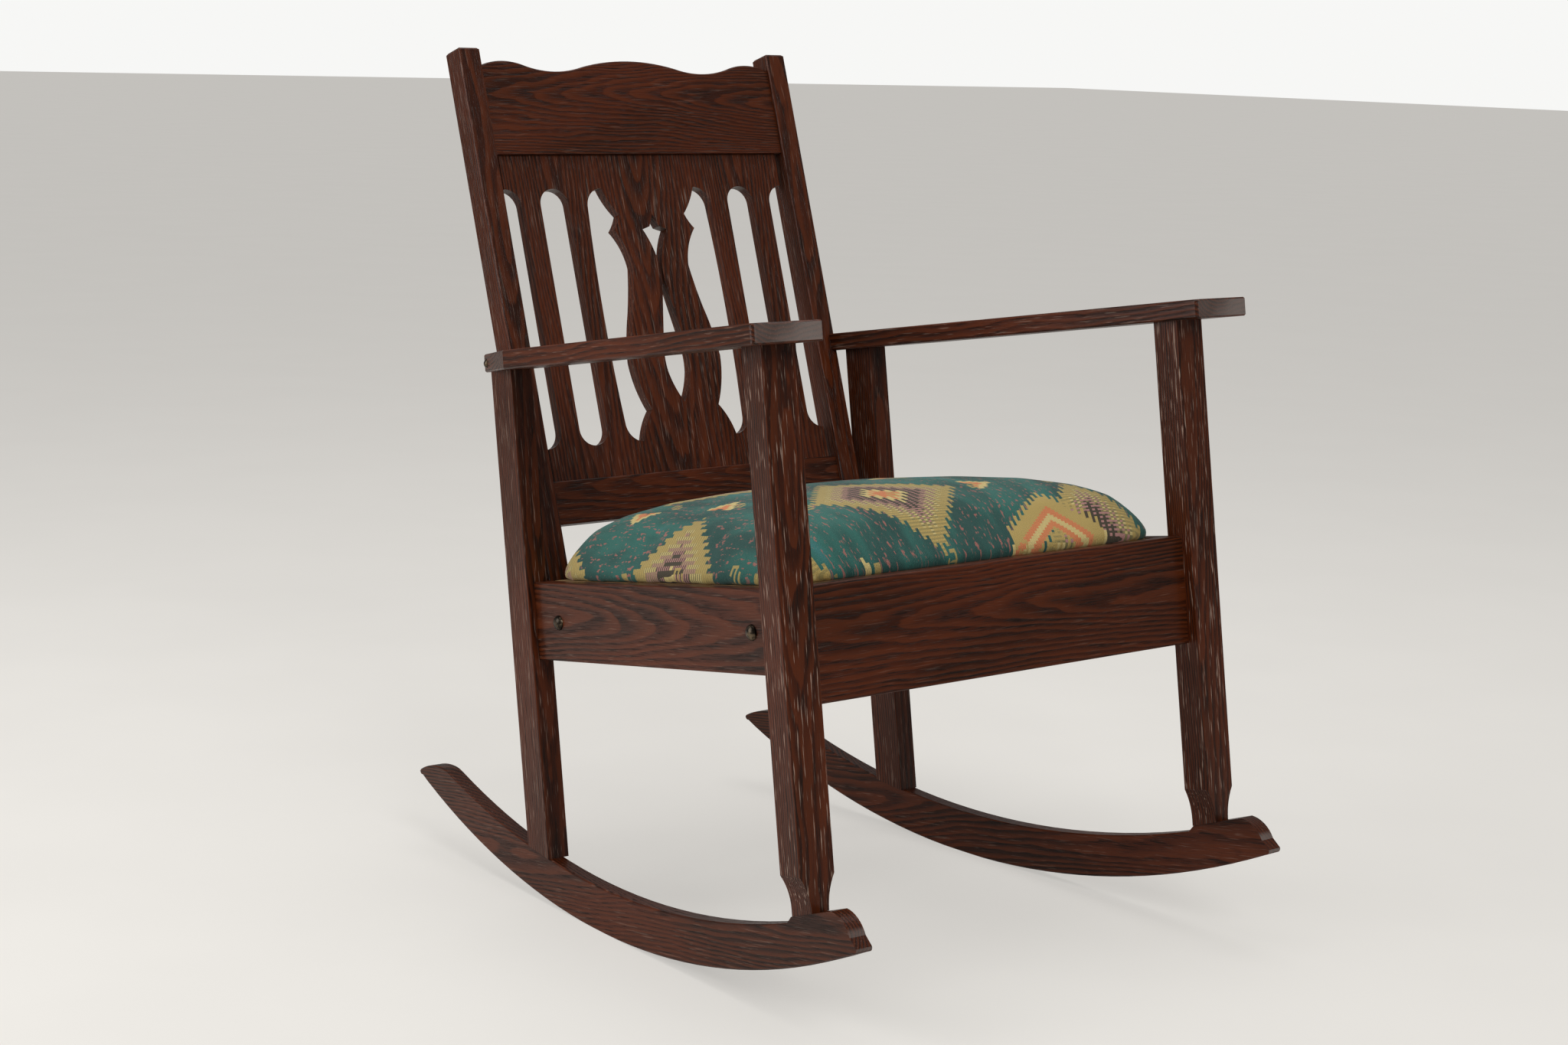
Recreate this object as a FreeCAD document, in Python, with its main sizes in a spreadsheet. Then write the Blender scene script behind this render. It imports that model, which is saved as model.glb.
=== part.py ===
# Rocking chair in stained oak: two curved rockers, legs, flat arms, a raked back with a cut-out
# splat, and a domed drop-in seat. Millimetres, +Z up, the front faces -Y, the origin is on the
# floor under the middle of the chair's outer box. "left" is the side at -X, as seen from the front.
import FreeCAD
import Part
import math
import os
import Sketcher
from FreeCAD import Placement, Rotation, Vector

# Every size is written once here. Heights are measured in the legs' own upright from the lowest
# point of the rockers' arc; the whole chair then leans back by rest_lean, on the flat that wear has
# left on each rocker. In a side frame, depth runs rearward from the front leg's front face and
# inset runs inward from its outer face.
SIZES = {
    "half_width": 316.8,
    "splay": 3.06,
    "rest_lean": 9.29,
    "rest_flat": 0.7,
    "arm_height": 645.0,
    "front_leg_deep": 34.4,
    "front_leg_wide": 43.2,
    "rear_leg_back": 504.0,
    "rear_leg_deep": 44.6,
    "rear_leg_inset": 8.8,
    "rear_leg_wide": 27.3,
    "leg_ease": 1.2,
    "cove_top": 117.0,
    "cove_drop": 37.0,
    "cove_outer": 11.4,
    "cove_inner": 10.2,
    "rocker_inset": 10.5,
    "rocker_thick": 19.8,
    "rocker_arc": 1035.8,
    "rocker_low": 241.9,
    "rocker_top_arc": 1130.0,
    "rocker_top_low": 225.0,
    "rocker_deep": 50.5,
    "nose_reach": 70.5,
    "nose_cap": 36.5,
    "nose_round": 36.0,
    "nose_rise": 5.6,
    "toe_round": 4.5,
    "land_rise": 6.0,
    "land_slope": 0.19,
    "land_run": 8.5,
    "tail_reach": 799.0,
    "tail_rise": 2.0,
    "tail_cap": 54.0,
    "tail_round": 110.0,
    "tail_tip": 4.5,
    "rail_inset": 17.6,
    "rail_thick": 20.0,
    "rail_top": 402.5,
    "rail_deep": 88.5,
    "apron_inset": 11.5,
    "apron_thick": 20.0,
    "apron_top": 404.0,
    "apron_deep": 121.0,
    "apron_round": 5.0,
    "rail_ease": 1.5,
    "rear_rail_back": 524.0,
    "rear_rail_thick": 22.0,
    "tenon_thick": 8.0,
    "tenon_length": 15.0,
    "apron_tenon": 10.0,
    "tenon_shoulder": 8.0,
    "tenon_gap": 0.2,
    "dowel_wide": 10.0,
    "dowel_length": 50.0,
    "arm_dowel_length": 36.0,
    "dowel_gap": 0.1,
    "arm_thick": 21.1,
    "arm_front": 37.6,
    "arm_outer": 35.0,
    "arm_inner": 51.7,
    "arm_corner": 5.5,
    "arm_taper": 443.0,
    "arm_end": 590.0,
    "arm_end_inset": 25.0,
    "arm_ease": 1.6,
    "post_inside": 214.7,
    "post_wide": 29.1,
    "post_deep": 29.1,
    "post_rake": 9.49,
    "post_set": 520.24,
    "post_level": 446.9,
    "post_top": 587.0,
    "post_foot": 330.0,
    "post_ease": 1.5,
    "post_tip": 2.5,
    "crest_set": 4.0,
    "crest_thick": 21.0,
    "crest_low": 459.0,
    "crest_end": 567.0,
    "crest_hump": 573.0,
    "crest_valley": 561.0,
    "crest_peak": 575.5,
    "crest_hump_from": 150.0,
    "crest_valley_from": 70.0,
    "low_rail_set": 5.0,
    "low_rail_thick": 20.0,
    "low_rail_low": 17.0,
    "low_rail_deep": 51.0,
    "back_tenon": 12.0,
    "splat_set": 9.6,
    "splat_thick": 13.0,
    "splat_tongue": 6.0,
    "splat_half": 207.5,
    "splat_seam": 69.5,
    "slot_low": 107.0,
    "slot_top": 418.0,
    "slot_outer": 160.0,
    "slot_wide": 40.5,
    "edge_slot": 186.0,
    "gap_waist": 97.0,
    "gap_end": 93.0,
    "gap_round": 24.0,
    "tulip_low": 151.0,
    "tulip_top": 385.0,
    "tulip_half": 18.0,
    "tulip_waist": 1.8,
    "tulip_waist_level": 310.0,
    "tulip_ear": 366.0,
    "cleat_thick": 20.0,
    "cleat_deep": 45.0,
    "cleat_drop": 22.5,
    "cleat_front": 36.0,
    "cleat_back": 494.0,
    "front_cleat_deep": 30.0,
    "front_cleat_thick": 18.0,
    "bolt_level": 357.5,
    "bolt_front": 77.0,
    "bolt_back": 455.0,
    "bolt_wide": 8.0,
    "bolt_head": 17.0,
    "bolt_dome": 5.6,
    "bolt_tip": 3.0,
    "bolt_gap": 0.1,
    "washer_wide": 18.0,
    "washer_thick": 1.6,
    "nut_half": 6.5,
    "nut_thick": 6.5,
    "arm_bolt_back": 573.0,
    "arm_bolt_wide": 5.0,
    "arm_bolt_head": 10.3,
    "arm_bolt_dome": 3.6,
    "arm_bolt_length": 42.0,
    "arm_bolt_turn": 12.0,
    "arm_bolt_sink": 1.0,
    "screw_level": 372.0,
    "screw_wide": 4.5,
    "screw_head": 9.0,
    "screw_length": 32.0,
    "seat_frame_thick": 20.0,
    "seat_frame_wide": 45.0,
    "seat_front": 33.8,
    "seat_back": 507.0,
    "seat_frame_gap": 2.5,
    "cushion_gap": 1.0,
    "webbing_thick": 1.6,
    "webbing_inset": 6.0,
    "dust_thick": 1.0,
    "dust_margin": 4.0,
    "crown": 80.0,
    "cushion_corner": 24.0,
    "oak_density": 600.0,
    "cloth_density": 300.0,
    "steel_density": 7850.0,
}


class Dim:
    """A number together with the sheet expression that gives it."""

    def __init__(self, value, text):
        self.value = float(value)
        self.text = text

    def __add__(self, other):
        other = dim(other)
        return Dim(self.value + other.value, f"({self.text} + {other.text})")

    def __radd__(self, other):
        return dim(other) + self

    def __sub__(self, other):
        other = dim(other)
        return Dim(self.value - other.value, f"({self.text} - {other.text})")

    def __rsub__(self, other):
        return dim(other) - self

    def __mul__(self, other):
        other = dim(other)
        return Dim(self.value * other.value, f"{self.text} * {other.text}")

    def __rmul__(self, other):
        return dim(other) * self

    def __truediv__(self, other):
        other = dim(other)
        return Dim(self.value / other.value, f"({self.text}) / ({other.text})")

    def __neg__(self):
        return Dim(-self.value, f"(0 - {self.text})")


def dim(value):
    """Return value as a Dim, whether it is one already or a plain number."""
    return value if isinstance(value, Dim) else Dim(value, f"{float(value):.6g}" if value >= 0 else f"(0 - {-float(value):.6g})")


def cosine(angle):
    """Cosine of an angle in degrees."""
    return Dim(math.cos(math.radians(angle.value)), f"cos({angle.text})")


def sine(angle):
    """Sine of an angle in degrees."""
    return Dim(math.sin(math.radians(angle.value)), f"sin({angle.text})")


def tangent(angle):
    """Tangent of an angle in degrees."""
    return Dim(math.tan(math.radians(angle.value)), f"tan({angle.text})")


def root(square):
    """Square root."""
    return Dim(math.sqrt(square.value), f"sqrt({square.text})")


class Names:
    """The sheet's sizes as attributes."""


doc = FreeCAD.newDocument("rocking_chair")
sheet = doc.addObject("Spreadsheet::Sheet", "Sizes")
D = Names()
for row, (name, number) in enumerate(SIZES.items(), start=1):
    sheet.set(f"A{row}", name)
    sheet.set(f"B{row}", str(number))
    sheet.setAlias(f"B{row}", name)
    setattr(D, name, Dim(number, f"Sizes.{name}"))
doc.recompute()

X_AXIS = Vector(1, 0, 0)
Y_AXIS = Vector(0, 1, 0)
Z_AXIS = Vector(0, 0, 1)
CHAIR = Placement()
LEFT = Placement(Vector(-D.half_width.value, 0, 0), Rotation(Z_AXIS, -D.splay.value))
RIGHT = Placement(Vector(D.half_width.value, 0, 0), Rotation(Z_AXIS, D.splay.value))
BACK = Placement(Vector(0, D.post_set.value, D.post_level.value), Rotation(X_AXIS, -D.post_rake.value))
LEANING = Placement(Vector(), Rotation(X_AXIS, -D.rest_lean.value))
SIDES = (("left", 1, LEFT), ("right", -1, RIGHT))
PIECES = []


def bind(item, path, size):
    """Set a property and tie it to the sheet."""
    size = dim(size)
    if path in item.PropertiesList:
        setattr(item, path, size.value)
    item.setExpression(path, size.text)


def turn_over(outline):
    """Mirror an outline across its vertical axis, keeping each arc's bulge on its own side."""
    flipped = []
    for point in outline:
        bend = [-radius for radius in point[2:]]
        flipped.append((-point[0], point[1], *bend))
    return flipped


def returned(outline):
    """The mirror image of a half outline, run backwards, so that the two halves make a whole."""
    turned = []
    count = len(outline)
    for index in range(count - 1, -1, -1):
        point = outline[index]
        bend = outline[index + 1][2:] if index + 1 < count else ()
        turned.append((-point[0], point[1], *bend))
    return turned


def draw(sketch, outline):
    """Fill a sketch with a closed outline of lines and arcs, each corner tied to the sheet.

    An outline's point is (across, up) or (across, up, radius): with a radius, the edge that
    arrives there is an arc under a half circle, anticlockwise where the radius is positive.
    """
    shapes = []
    ends = []
    radii = []
    for index, point in enumerate(outline):
        before = outline[index - 1]
        start = Vector(dim(before[0]).value, dim(before[1]).value, 0)
        stop = Vector(dim(point[0]).value, dim(point[1]).value, 0)
        if len(point) < 3:
            shapes.append(Part.LineSegment(start, stop))
            ends.append((1, 2))
            radii.append(None)
            continue
        radius = dim(point[2])
        chord = stop - start
        reach = abs(radius.value)
        rise = math.sqrt(max(reach ** 2 - (chord.Length / 2) ** 2, 0.0))
        normal = Vector(-chord.y, chord.x, 0).normalize()
        anticlockwise = radius.value > 0
        middle = (start + stop) * 0.5 + normal * (rise if anticlockwise else -rise)
        first, last = (start, stop) if anticlockwise else (stop, start)
        angle_a = math.atan2(first.y - middle.y, first.x - middle.x)
        angle_b = math.atan2(last.y - middle.y, last.x - middle.x)
        if angle_b < angle_a:
            angle_b += 2 * math.pi
        shapes.append(Part.ArcOfCircle(Part.Circle(middle, Z_AXIS, reach), angle_a, angle_b))
        ends.append((1, 2) if anticlockwise else (2, 1))
        radii.append(radius if anticlockwise else -radius)
    sketch.addGeometry(shapes, False)
    rules = []
    ties = []
    count = len(outline)
    for index, point in enumerate(outline):
        after = (index + 1) % count
        rules.append(Sketcher.Constraint("Coincident", index, ends[index][1], after, ends[after][0]))
        for kind, size in (("DistanceX", dim(point[0])), ("DistanceY", dim(point[1]))):
            rules.append(Sketcher.Constraint(kind, -1, 1, index, ends[index][1], size.value))
            ties.append((len(rules) - 1, size))
        if radii[index] is not None:
            rules.append(Sketcher.Constraint("Radius", index, radii[index].value))
            ties.append((len(rules) - 1, radii[index]))
    sketch.addConstraint(rules)
    for number, size in ties:
        sketch.setExpression(f"Constraints[{number}]", size.text)


BEVEL = "PartDesign::Chamfer"


class Piece:
    """One wooden, metal or cloth part: a body, its frame in the chair, and its hand."""

    def __init__(self, label, frame=CHAIR, hand=1):
        self.body = doc.addObject("PartDesign::Body", label)
        self.body.Label = label
        self.frame = frame
        self.hand = hand
        PIECES.append(self)

    def plane(self, role):
        """One of the body's own origin planes."""
        return [item for item in self.body.Origin.OriginFeatures if item.Role == role][0]

    def sketch(self, name, role, outline, level=0.0):
        """A sketch of an outline on an origin plane, raised by level along the plane's normal."""
        if self.hand < 0 and role != "YZ_Plane":
            outline = turn_over(outline)
        profile = self.body.newObject("Sketcher::SketchObject", name)
        profile.AttachmentSupport = [(self.plane(role), "")]
        profile.MapMode = "FlatFace"
        level = dim(level)
        profile.AttachmentOffset = Placement(Vector(0, 0, level.value), Rotation())
        profile.setExpression("AttachmentOffset.Base.z", level.text)
        draw(profile, outline)
        return profile

    def slab(self, name, role, outline, low, high, cut=False):
        """Pad or pocket an outline from low to high along the axis square to its plane."""
        low, high = dim(low), dim(high)
        if self.hand < 0 and role == "YZ_Plane":
            low, high = -high, -low
        level = -high if role == "XZ_Plane" else low
        profile = self.sketch(f"{name}_outline", role, outline, level)
        doc.recompute()
        before = self.body.Shape.Volume if cut else 0.0
        feature = self.body.newObject("PartDesign::Pocket" if cut else "PartDesign::Pad", name)
        feature.Profile = profile
        feature.Reversed = cut
        bind(feature, "Length", high - low)
        doc.recompute()
        if cut and self.body.Shape.Volume > before - 1.0:
            raise ValueError(f"{name} removes nothing from {self.body.Label}")
        return feature

    def block(self, name, low, high, cut=False, within=None):
        """Add or cut a box between two corners, in this piece's frame or within another."""
        low = [dim(size) for size in low]
        high = [dim(size) for size in high]
        if self.hand < 0:
            low[0], high[0] = -high[0], -low[0]
        box = self.body.newObject("PartDesign::SubtractiveBox" if cut else "PartDesign::AdditiveBox", name)
        for side, start, stop in zip(("Length", "Width", "Height"), low, high):
            bind(box, side, stop - start)
        corner = Placement(Vector(*[size.value for size in low]), Rotation())
        if within is None:
            box.Placement = corner
            for axis, size in zip("xyz", low):
                box.setExpression(f"Placement.Base.{axis}", size.text)
        else:
            box.Placement = self.frame.inverse() * within * corner
        return box

    def rod(self, name, place, wide, length, cut=False):
        """Add or cut a round rod along the Z axis of a place given in the chair's frame."""
        kind = "PartDesign::SubtractiveCylinder" if cut else "PartDesign::AdditiveCylinder"
        item = self.body.newObject(kind, name)
        bind(item, "Radius", dim(wide) / 2)
        bind(item, "Height", length)
        item.Placement = self.frame.inverse() * place
        return item

    def peg(self, name, place, wide, length, sides):
        """Add a straight rod with a few flat sides along the Z axis of a place."""
        item = self.body.newObject("PartDesign::AdditivePrism", name)
        item.Polygon = sides
        bind(item, "Circumradius", dim(wide) / 2)
        bind(item, "Height", length)
        item.Placement = self.frame.inverse() * place
        return item

    def stacked(self, name, rings):
        """Loft straight between outlines in the XY plane, each given with its level."""
        profiles = [self.sketch(f"{name}_{number}", "XY_Plane", outline, level)
                    for number, (outline, level) in enumerate(rings)]
        doc.recompute()
        loft = self.body.newObject("PartDesign::AdditiveLoft", name)
        loft.Profile = profiles[0]
        loft.Sections = profiles[1:]
        loft.Ruled = True
        loft.Closed = False
        return loft

    def ease(self, name, radius, wanted, kind="PartDesign::Fillet"):
        """Round or bevel every edge of the piece so far that wanted() accepts."""
        doc.recompute()
        base = self.body.Tip
        names = []
        for number, edge in enumerate(base.Shape.Edges, start=1):
            if wanted(edge):
                names.append(f"Edge{number}")
        if not names:
            raise ValueError(f"{name} finds no edge on {self.body.Label}")
        feature = self.body.newObject(kind, name)
        feature.Base = (base, names)
        bind(feature, "Radius" if kind.endswith("Fillet") else "Size", radius)
        return feature


def runs_along(edge, axis):
    """True for a straight edge parallel to an axis."""
    if not isinstance(edge.Curve, (Part.Line, Part.LineSegment)):
        return False
    span = edge.Vertexes[-1].Point - edge.Vertexes[0].Point
    return span.Length > 1e-6 and abs(abs(span.normalize().dot(axis)) - 1.0) < 1e-6


def lies_at(edge, axis, level):
    """True for an edge that lies wholly in a plane square to an axis."""
    return all(abs(getattr(vertex.Point, axis) - level) < 1e-4 for vertex in edge.Vertexes)


def side_place(frame, hand, inset, depth, height):
    """A point of a side frame, by its inset, depth and height, as a place in the chair's frame."""
    return frame * Placement(Vector(hand * inset, depth, height), Rotation())


def inner_half(inset, depth):
    """Half the width between the two side frames at an inset, at a depth from the front."""
    return D.half_width - inset / cosine(D.splay) - depth * tangent(D.splay)


def rocker_bottom(depth):
    """Height of the rocker's bottom arc at a depth."""
    offset = depth - D.rocker_low
    return D.rocker_arc - root(D.rocker_arc * D.rocker_arc - offset * offset)


def rocker_top(depth):
    """Height of the rocker's top arc at a depth."""
    offset = depth - D.rocker_top_low
    arc = D.rocker_top_arc
    return D.rocker_deep + arc - root(arc * arc - offset * offset)


def land(depth):
    """Height of the straight land that carries the front leg."""
    return rocker_top(D.front_leg_deep) + D.land_rise + (D.front_leg_deep - depth) * D.land_slope


rail_low = D.rail_top - D.rail_deep
apron_low = D.apron_top - D.apron_deep
arm_top = D.arm_height + D.arm_thick
post_outside = D.post_inside + D.post_wide
tenon_in = D.rail_inset + (D.rail_thick - D.tenon_thick) / 2
tenon_out = tenon_in + D.tenon_thick
cleat_top = D.bolt_level + D.cleat_drop
cleat_inner = D.rail_inset + D.rail_thick + D.cleat_thick
apron_mid = D.apron_inset + D.apron_thick / 2
rear_mid = D.rear_rail_back + D.rear_rail_thick / 2
front_dowel = D.front_leg_deep / 2
rear_dowel = D.rear_leg_back + D.rear_leg_deep / 2
rocker_mid = D.rocker_inset + D.rocker_thick / 2
gap = D.tenon_gap
foot_drop = D.dowel_length / 2
arm_drop = D.arm_dowel_length - D.arm_thick * 0.7


def make_rocker(side, hand, frame):
    """Curved runner: a true arc below, a flatter arc above, a rounded nose and a thin tail."""
    nose_back = D.nose_cap - D.nose_reach
    nose_mid = D.toe_round * 2 - D.nose_reach
    nose_low = rocker_bottom(D.toe_round - D.nose_reach)
    tail_join = D.tail_reach - D.tail_cap
    tail_start = D.tail_reach - D.tail_cap * 1.3
    step = D.front_leg_deep + D.land_run
    land_end = D.front_leg_deep + D.land_run * 0.1
    tail_low = rocker_bottom(D.tail_reach)
    outline = [
        (-D.nose_reach + D.toe_round, nose_low, D.toe_round),
        (D.tail_reach - D.tail_tip * 3, rocker_bottom(D.tail_reach - D.tail_tip * 3), D.rocker_arc),
        (D.tail_reach, tail_low + D.tail_rise * 0.3),
        (D.tail_reach + D.tail_rise, tail_low + D.tail_tip + D.tail_rise, D.tail_tip),
        (tail_join, rocker_top(tail_start) + D.nose_rise * 0.9, D.tail_round),
        (tail_start, rocker_top(tail_start), D.tail_round / 2),
        (step, rocker_top(step), -D.rocker_top_arc),
        (land_end, land(land_end)),
        (nose_back, land(nose_back)),
        (nose_mid, land(nose_back) - D.nose_cap * 0.64, D.nose_round),
        (-D.nose_reach, nose_low + D.toe_round * 1.2),
    ]
    piece = Piece(f"rocker_{side}", frame, hand)
    piece.slab("runner", "YZ_Plane", outline, D.rocker_inset, D.rocker_inset + D.rocker_thick)
    for name, depth, top in (("front", front_dowel, land(front_dowel)), ("rear", rear_dowel, rocker_top(rear_dowel))):
        place = side_place(frame, hand, rocker_mid.value, depth.value, (top - foot_drop).value)
        piece.rod(f"{name}_dowel_hole", place, D.dowel_wide + 2 * D.dowel_gap, D.dowel_length, cut=True)
    piece.ease("runner_ease", D.rail_ease, lambda edge: edge.Length > 100.0 and (
        lies_at(edge, "x", hand * D.rocker_inset.value)
        or lies_at(edge, "x", hand * (D.rocker_inset + D.rocker_thick).value)), BEVEL)
    floor = rest_floor() + D.rest_flat
    piece.block("worn_flat", (-D.half_width * 2, 0, floor - 30), (D.half_width * 2, D.tail_reach, floor), cut=True,
                within=LEANING.inverse())


def rest_floor():
    """Height of the rockers' lowest line once the chair leans, before wear."""
    edge = D.rocker_inset + D.rail_ease
    low = D.rocker_low * cosine(D.splay) - edge * sine(D.splay)
    lean, splay = D.rest_lean, D.splay
    reach = root(cosine(lean) * cosine(lean) + cosine(splay) * cosine(splay) * (sine(lean) * sine(lean)))
    return D.rocker_arc * cosine(lean) - low * sine(lean) - D.rocker_arc * reach


def make_front_leg(side, hand, frame):
    """Square front leg whose foot is coved in on both sides to sit on the rocker."""
    piece = Piece(f"front_leg_{side}", frame, hand)
    piece.block("post", (0, 0, D.rocker_deep), (D.front_leg_wide, D.front_leg_deep, D.arm_height))
    piece.ease("arris", D.leg_ease, lambda edge: runs_along(edge, Z_AXIS))
    ends = D.front_leg_deep + 20
    piece.slab("foot_cut", "YZ_Plane", [(-20, 0), (ends, 0), (ends, land(ends)), (-20, land(dim(-20)))],
               -10, D.front_leg_wide + 10, cut=True)
    low = D.cove_top - D.cove_drop
    for name, inset, edge, way in (("outer", D.cove_outer, dim(0), 1), ("inner", D.cove_inner, D.front_leg_wide, -1)):
        radius = (inset * inset + D.cove_drop * D.cove_drop) / (inset * 2)
        outline = [
            (edge - 5 * way, D.cove_top),
            (edge, D.cove_top),
            (edge + inset * way, low, -radius if way > 0 else radius),
            (edge + inset * way, low / 2),
            (edge - 5 * way, low / 2),
        ]
        piece.slab(f"{name}_cove", "XZ_Plane", outline, -10, D.front_leg_deep + 10, cut=True)
    piece.block("rail_mortise", (tenon_in - gap, D.front_leg_deep - D.tenon_length - gap, rail_low + D.tenon_shoulder - gap),
                (tenon_out + gap, D.front_leg_deep + 5, D.rail_top - D.tenon_shoulder + gap), cut=True)
    face = inner_half(D.front_leg_wide, apron_mid)
    half = D.tenon_thick / 2
    piece.block("apron_mortise", (-face - D.apron_tenon - gap, apron_mid - half - gap, apron_low + D.tenon_shoulder - gap),
                (-face + 5, apron_mid + half + gap, D.apron_top - D.tenon_shoulder + gap), cut=True, within=CHAIR)
    drill_leg(piece, frame, hand, front_dowel, land(front_dowel))


def drill_leg(piece, frame, hand, depth, foot):
    """Dowel holes in a leg's foot and top."""
    hole = D.dowel_wide + 2 * D.dowel_gap
    place = side_place(frame, hand, rocker_mid.value, depth.value, (foot - foot_drop).value)
    piece.rod("foot_hole", place, hole, D.dowel_length, cut=True)
    place = side_place(frame, hand, rocker_mid.value, depth.value, (D.arm_height - arm_drop).value)
    piece.rod("top_hole", place, hole, D.arm_dowel_length, cut=True)


def make_rear_leg(side, hand, frame):
    """Rear leg: thinner than the front one, its foot cut to the rocker's top arc."""
    piece = Piece(f"rear_leg_{side}", frame, hand)
    back = D.rear_leg_back + D.rear_leg_deep
    inner = D.rear_leg_inset + D.rear_leg_wide
    piece.block("post", (D.rear_leg_inset, D.rear_leg_back, D.rocker_deep), (inner, back, D.arm_height))
    piece.ease("arris", D.leg_ease, lambda edge: runs_along(edge, Z_AXIS))
    near, far = D.rear_leg_back - 20, back + 20
    piece.slab("foot_cut", "YZ_Plane", [(near, 0), (far, 0), (far, rocker_top(far)), (near, rocker_top(near), -D.rocker_top_arc)],
               D.rear_leg_inset - 10, inner + 10, cut=True)
    piece.block("rail_mortise", (tenon_in - gap, D.rear_leg_back - 5, rail_low + D.tenon_shoulder - gap),
                (tenon_out + gap, D.rear_leg_back + D.tenon_length + gap, D.rail_top - D.tenon_shoulder + gap), cut=True)
    face = inner_half(inner, rear_mid)
    half = D.tenon_thick / 2
    piece.block("rear_mortise", (-face - D.tenon_length + 1, rear_mid - half - gap, rail_low + D.tenon_shoulder - gap),
                (-face + 5, rear_mid + half + gap, D.rail_top - D.tenon_shoulder + gap), cut=True, within=CHAIR)
    drill_leg(piece, frame, hand, rear_dowel, rocker_top(rear_dowel))


def make_side_rail(side, hand, frame):
    """Deep side rail, tenoned into both legs and bored for the cleat bolts."""
    piece = Piece(f"side_rail_{side}", frame, hand)
    outer, inner = D.rail_inset, D.rail_inset + D.rail_thick
    piece.block("board", (outer, D.front_leg_deep, rail_low), (inner, D.rear_leg_back, D.rail_top))
    piece.ease("arris", D.rail_ease, lambda edge: runs_along(edge, Y_AXIS))
    piece.block("tenons", (tenon_in, D.front_leg_deep - D.tenon_length, rail_low + D.tenon_shoulder),
                (tenon_out, D.rear_leg_back + D.tenon_length, D.rail_top - D.tenon_shoulder))
    for name, depth in (("front", D.bolt_front), ("back", D.bolt_back)):
        piece.rod(f"{name}_bolt_hole", bolt_place(frame, hand, 60, depth), D.bolt_wide + 2 * D.bolt_gap, 100, cut=True)


def bolt_place(frame, hand, inset, depth):
    """A place at an inset of a side frame at the bolts' height, its Z axis pointing outward."""
    turn = Rotation(Z_AXIS, Vector(-hand, 0, 0))
    return frame * Placement(Vector(hand * dim(inset).value, dim(depth).value, D.bolt_level.value), turn)


def make_rails_across():
    """Front apron and rear seat rail, cut to the legs' slant and tenoned into them."""
    half = D.tenon_thick / 2
    for label, inset, near, thick, low, top, tenon in (
            ("front_apron", D.front_leg_wide, D.apron_inset, D.apron_thick, apron_low, D.apron_top, D.apron_tenon),
            ("rear_seat_rail", D.rear_leg_inset + D.rear_leg_wide, D.rear_rail_back, D.rear_rail_thick, rail_low,
             D.rail_top, D.tenon_length - 2)):
        far = near + thick
        wide_near, wide_far = inner_half(inset, near), inner_half(inset, far)
        piece = Piece(label)
        piece.slab("board", "XY_Plane", [(-wide_near, near), (wide_near, near), (wide_far, far), (-wide_far, far)], low, top)
        front_top = (near.value, top.value)
        if label == "front_apron":
            piece.ease("top_round", D.apron_round, lambda edge, at=front_top: runs_along(edge, X_AXIS)
                       and lies_at(edge, "y", at[0]) and lies_at(edge, "z", at[1]))
            piece.ease("arris", D.rail_ease, lambda edge, at=front_top: runs_along(edge, X_AXIS)
                       and abs(edge.Vertexes[0].Z - at[1]) > 50)
        middle = near + thick / 2
        reach = inner_half(inset, middle) + tenon
        piece.block("tenons", (-reach, middle - half, low + D.tenon_shoulder), (reach, middle + half, top - D.tenon_shoulder))
        if label == "rear_seat_rail":
            for side, hand, _ in SIDES:
                piece.rod(f"screw_hole_{side}", screw_place(hand, D.screw_length), D.screw_wide, D.screw_length, cut=True)


def screw_place(hand, sink):
    """The post screw's place, from its point, its Z axis pointing out of the post's front face."""
    level = (D.screw_level - D.post_level) / cosine(D.post_rake)
    across = -hand * (D.post_inside + D.post_wide / 2).value
    return BACK * Placement(Vector(across, dim(sink).value, level.value), Rotation(Z_AXIS, Vector(0, -1, 0)))


def make_arm(side, hand, frame):
    """Flat arm: square in front, its outer edge tapering in to the back post, which it laps."""
    corner = D.arm_corner
    outline = [
        (D.arm_inner - corner, -D.arm_front),
        (D.arm_inner, corner - D.arm_front, corner),
        (D.arm_inner, D.arm_end),
        (D.arm_end_inset + 2, D.arm_end),
        (D.arm_end_inset - 1, D.arm_end - 3, 3),
        (-D.arm_outer, D.arm_taper),
        (-D.arm_outer, corner - D.arm_front),
        (corner - D.arm_outer, -D.arm_front, corner),
    ]
    piece = Piece(f"arm_{side}", frame, hand)
    piece.slab("board", "XY_Plane", outline, D.arm_height, arm_top)
    ends = (D.arm_height.value, arm_top.value)
    piece.ease("arris", D.arm_ease, lambda edge: lies_at(edge, "z", ends[0]) or lies_at(edge, "z", ends[1]), BEVEL)
    piece.block("post_notch", (-post_outside, 0, 0), (-D.post_inside + 20, D.post_deep + 40, D.post_top), cut=True, within=BACK)
    for name, depth in (("front", front_dowel), ("rear", rear_dowel)):
        place = side_place(frame, hand, rocker_mid.value, depth.value, (D.arm_height - arm_drop).value)
        piece.rod(f"{name}_dowel_hole", place, D.dowel_wide + 2 * D.dowel_gap, D.arm_dowel_length, cut=True)
    seat = arm_bolt_place(frame, hand, D.arm_bolt_sink)
    piece.rod("bolt_seat", seat, D.arm_bolt_head + 0.6, 12, cut=True)
    piece.rod("bolt_hole", arm_bolt_place(frame, hand, D.arm_bolt_sink + D.arm_bolt_length),
              D.arm_bolt_wide + 2 * D.bolt_gap, D.arm_bolt_length + 5, cut=True)


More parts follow.
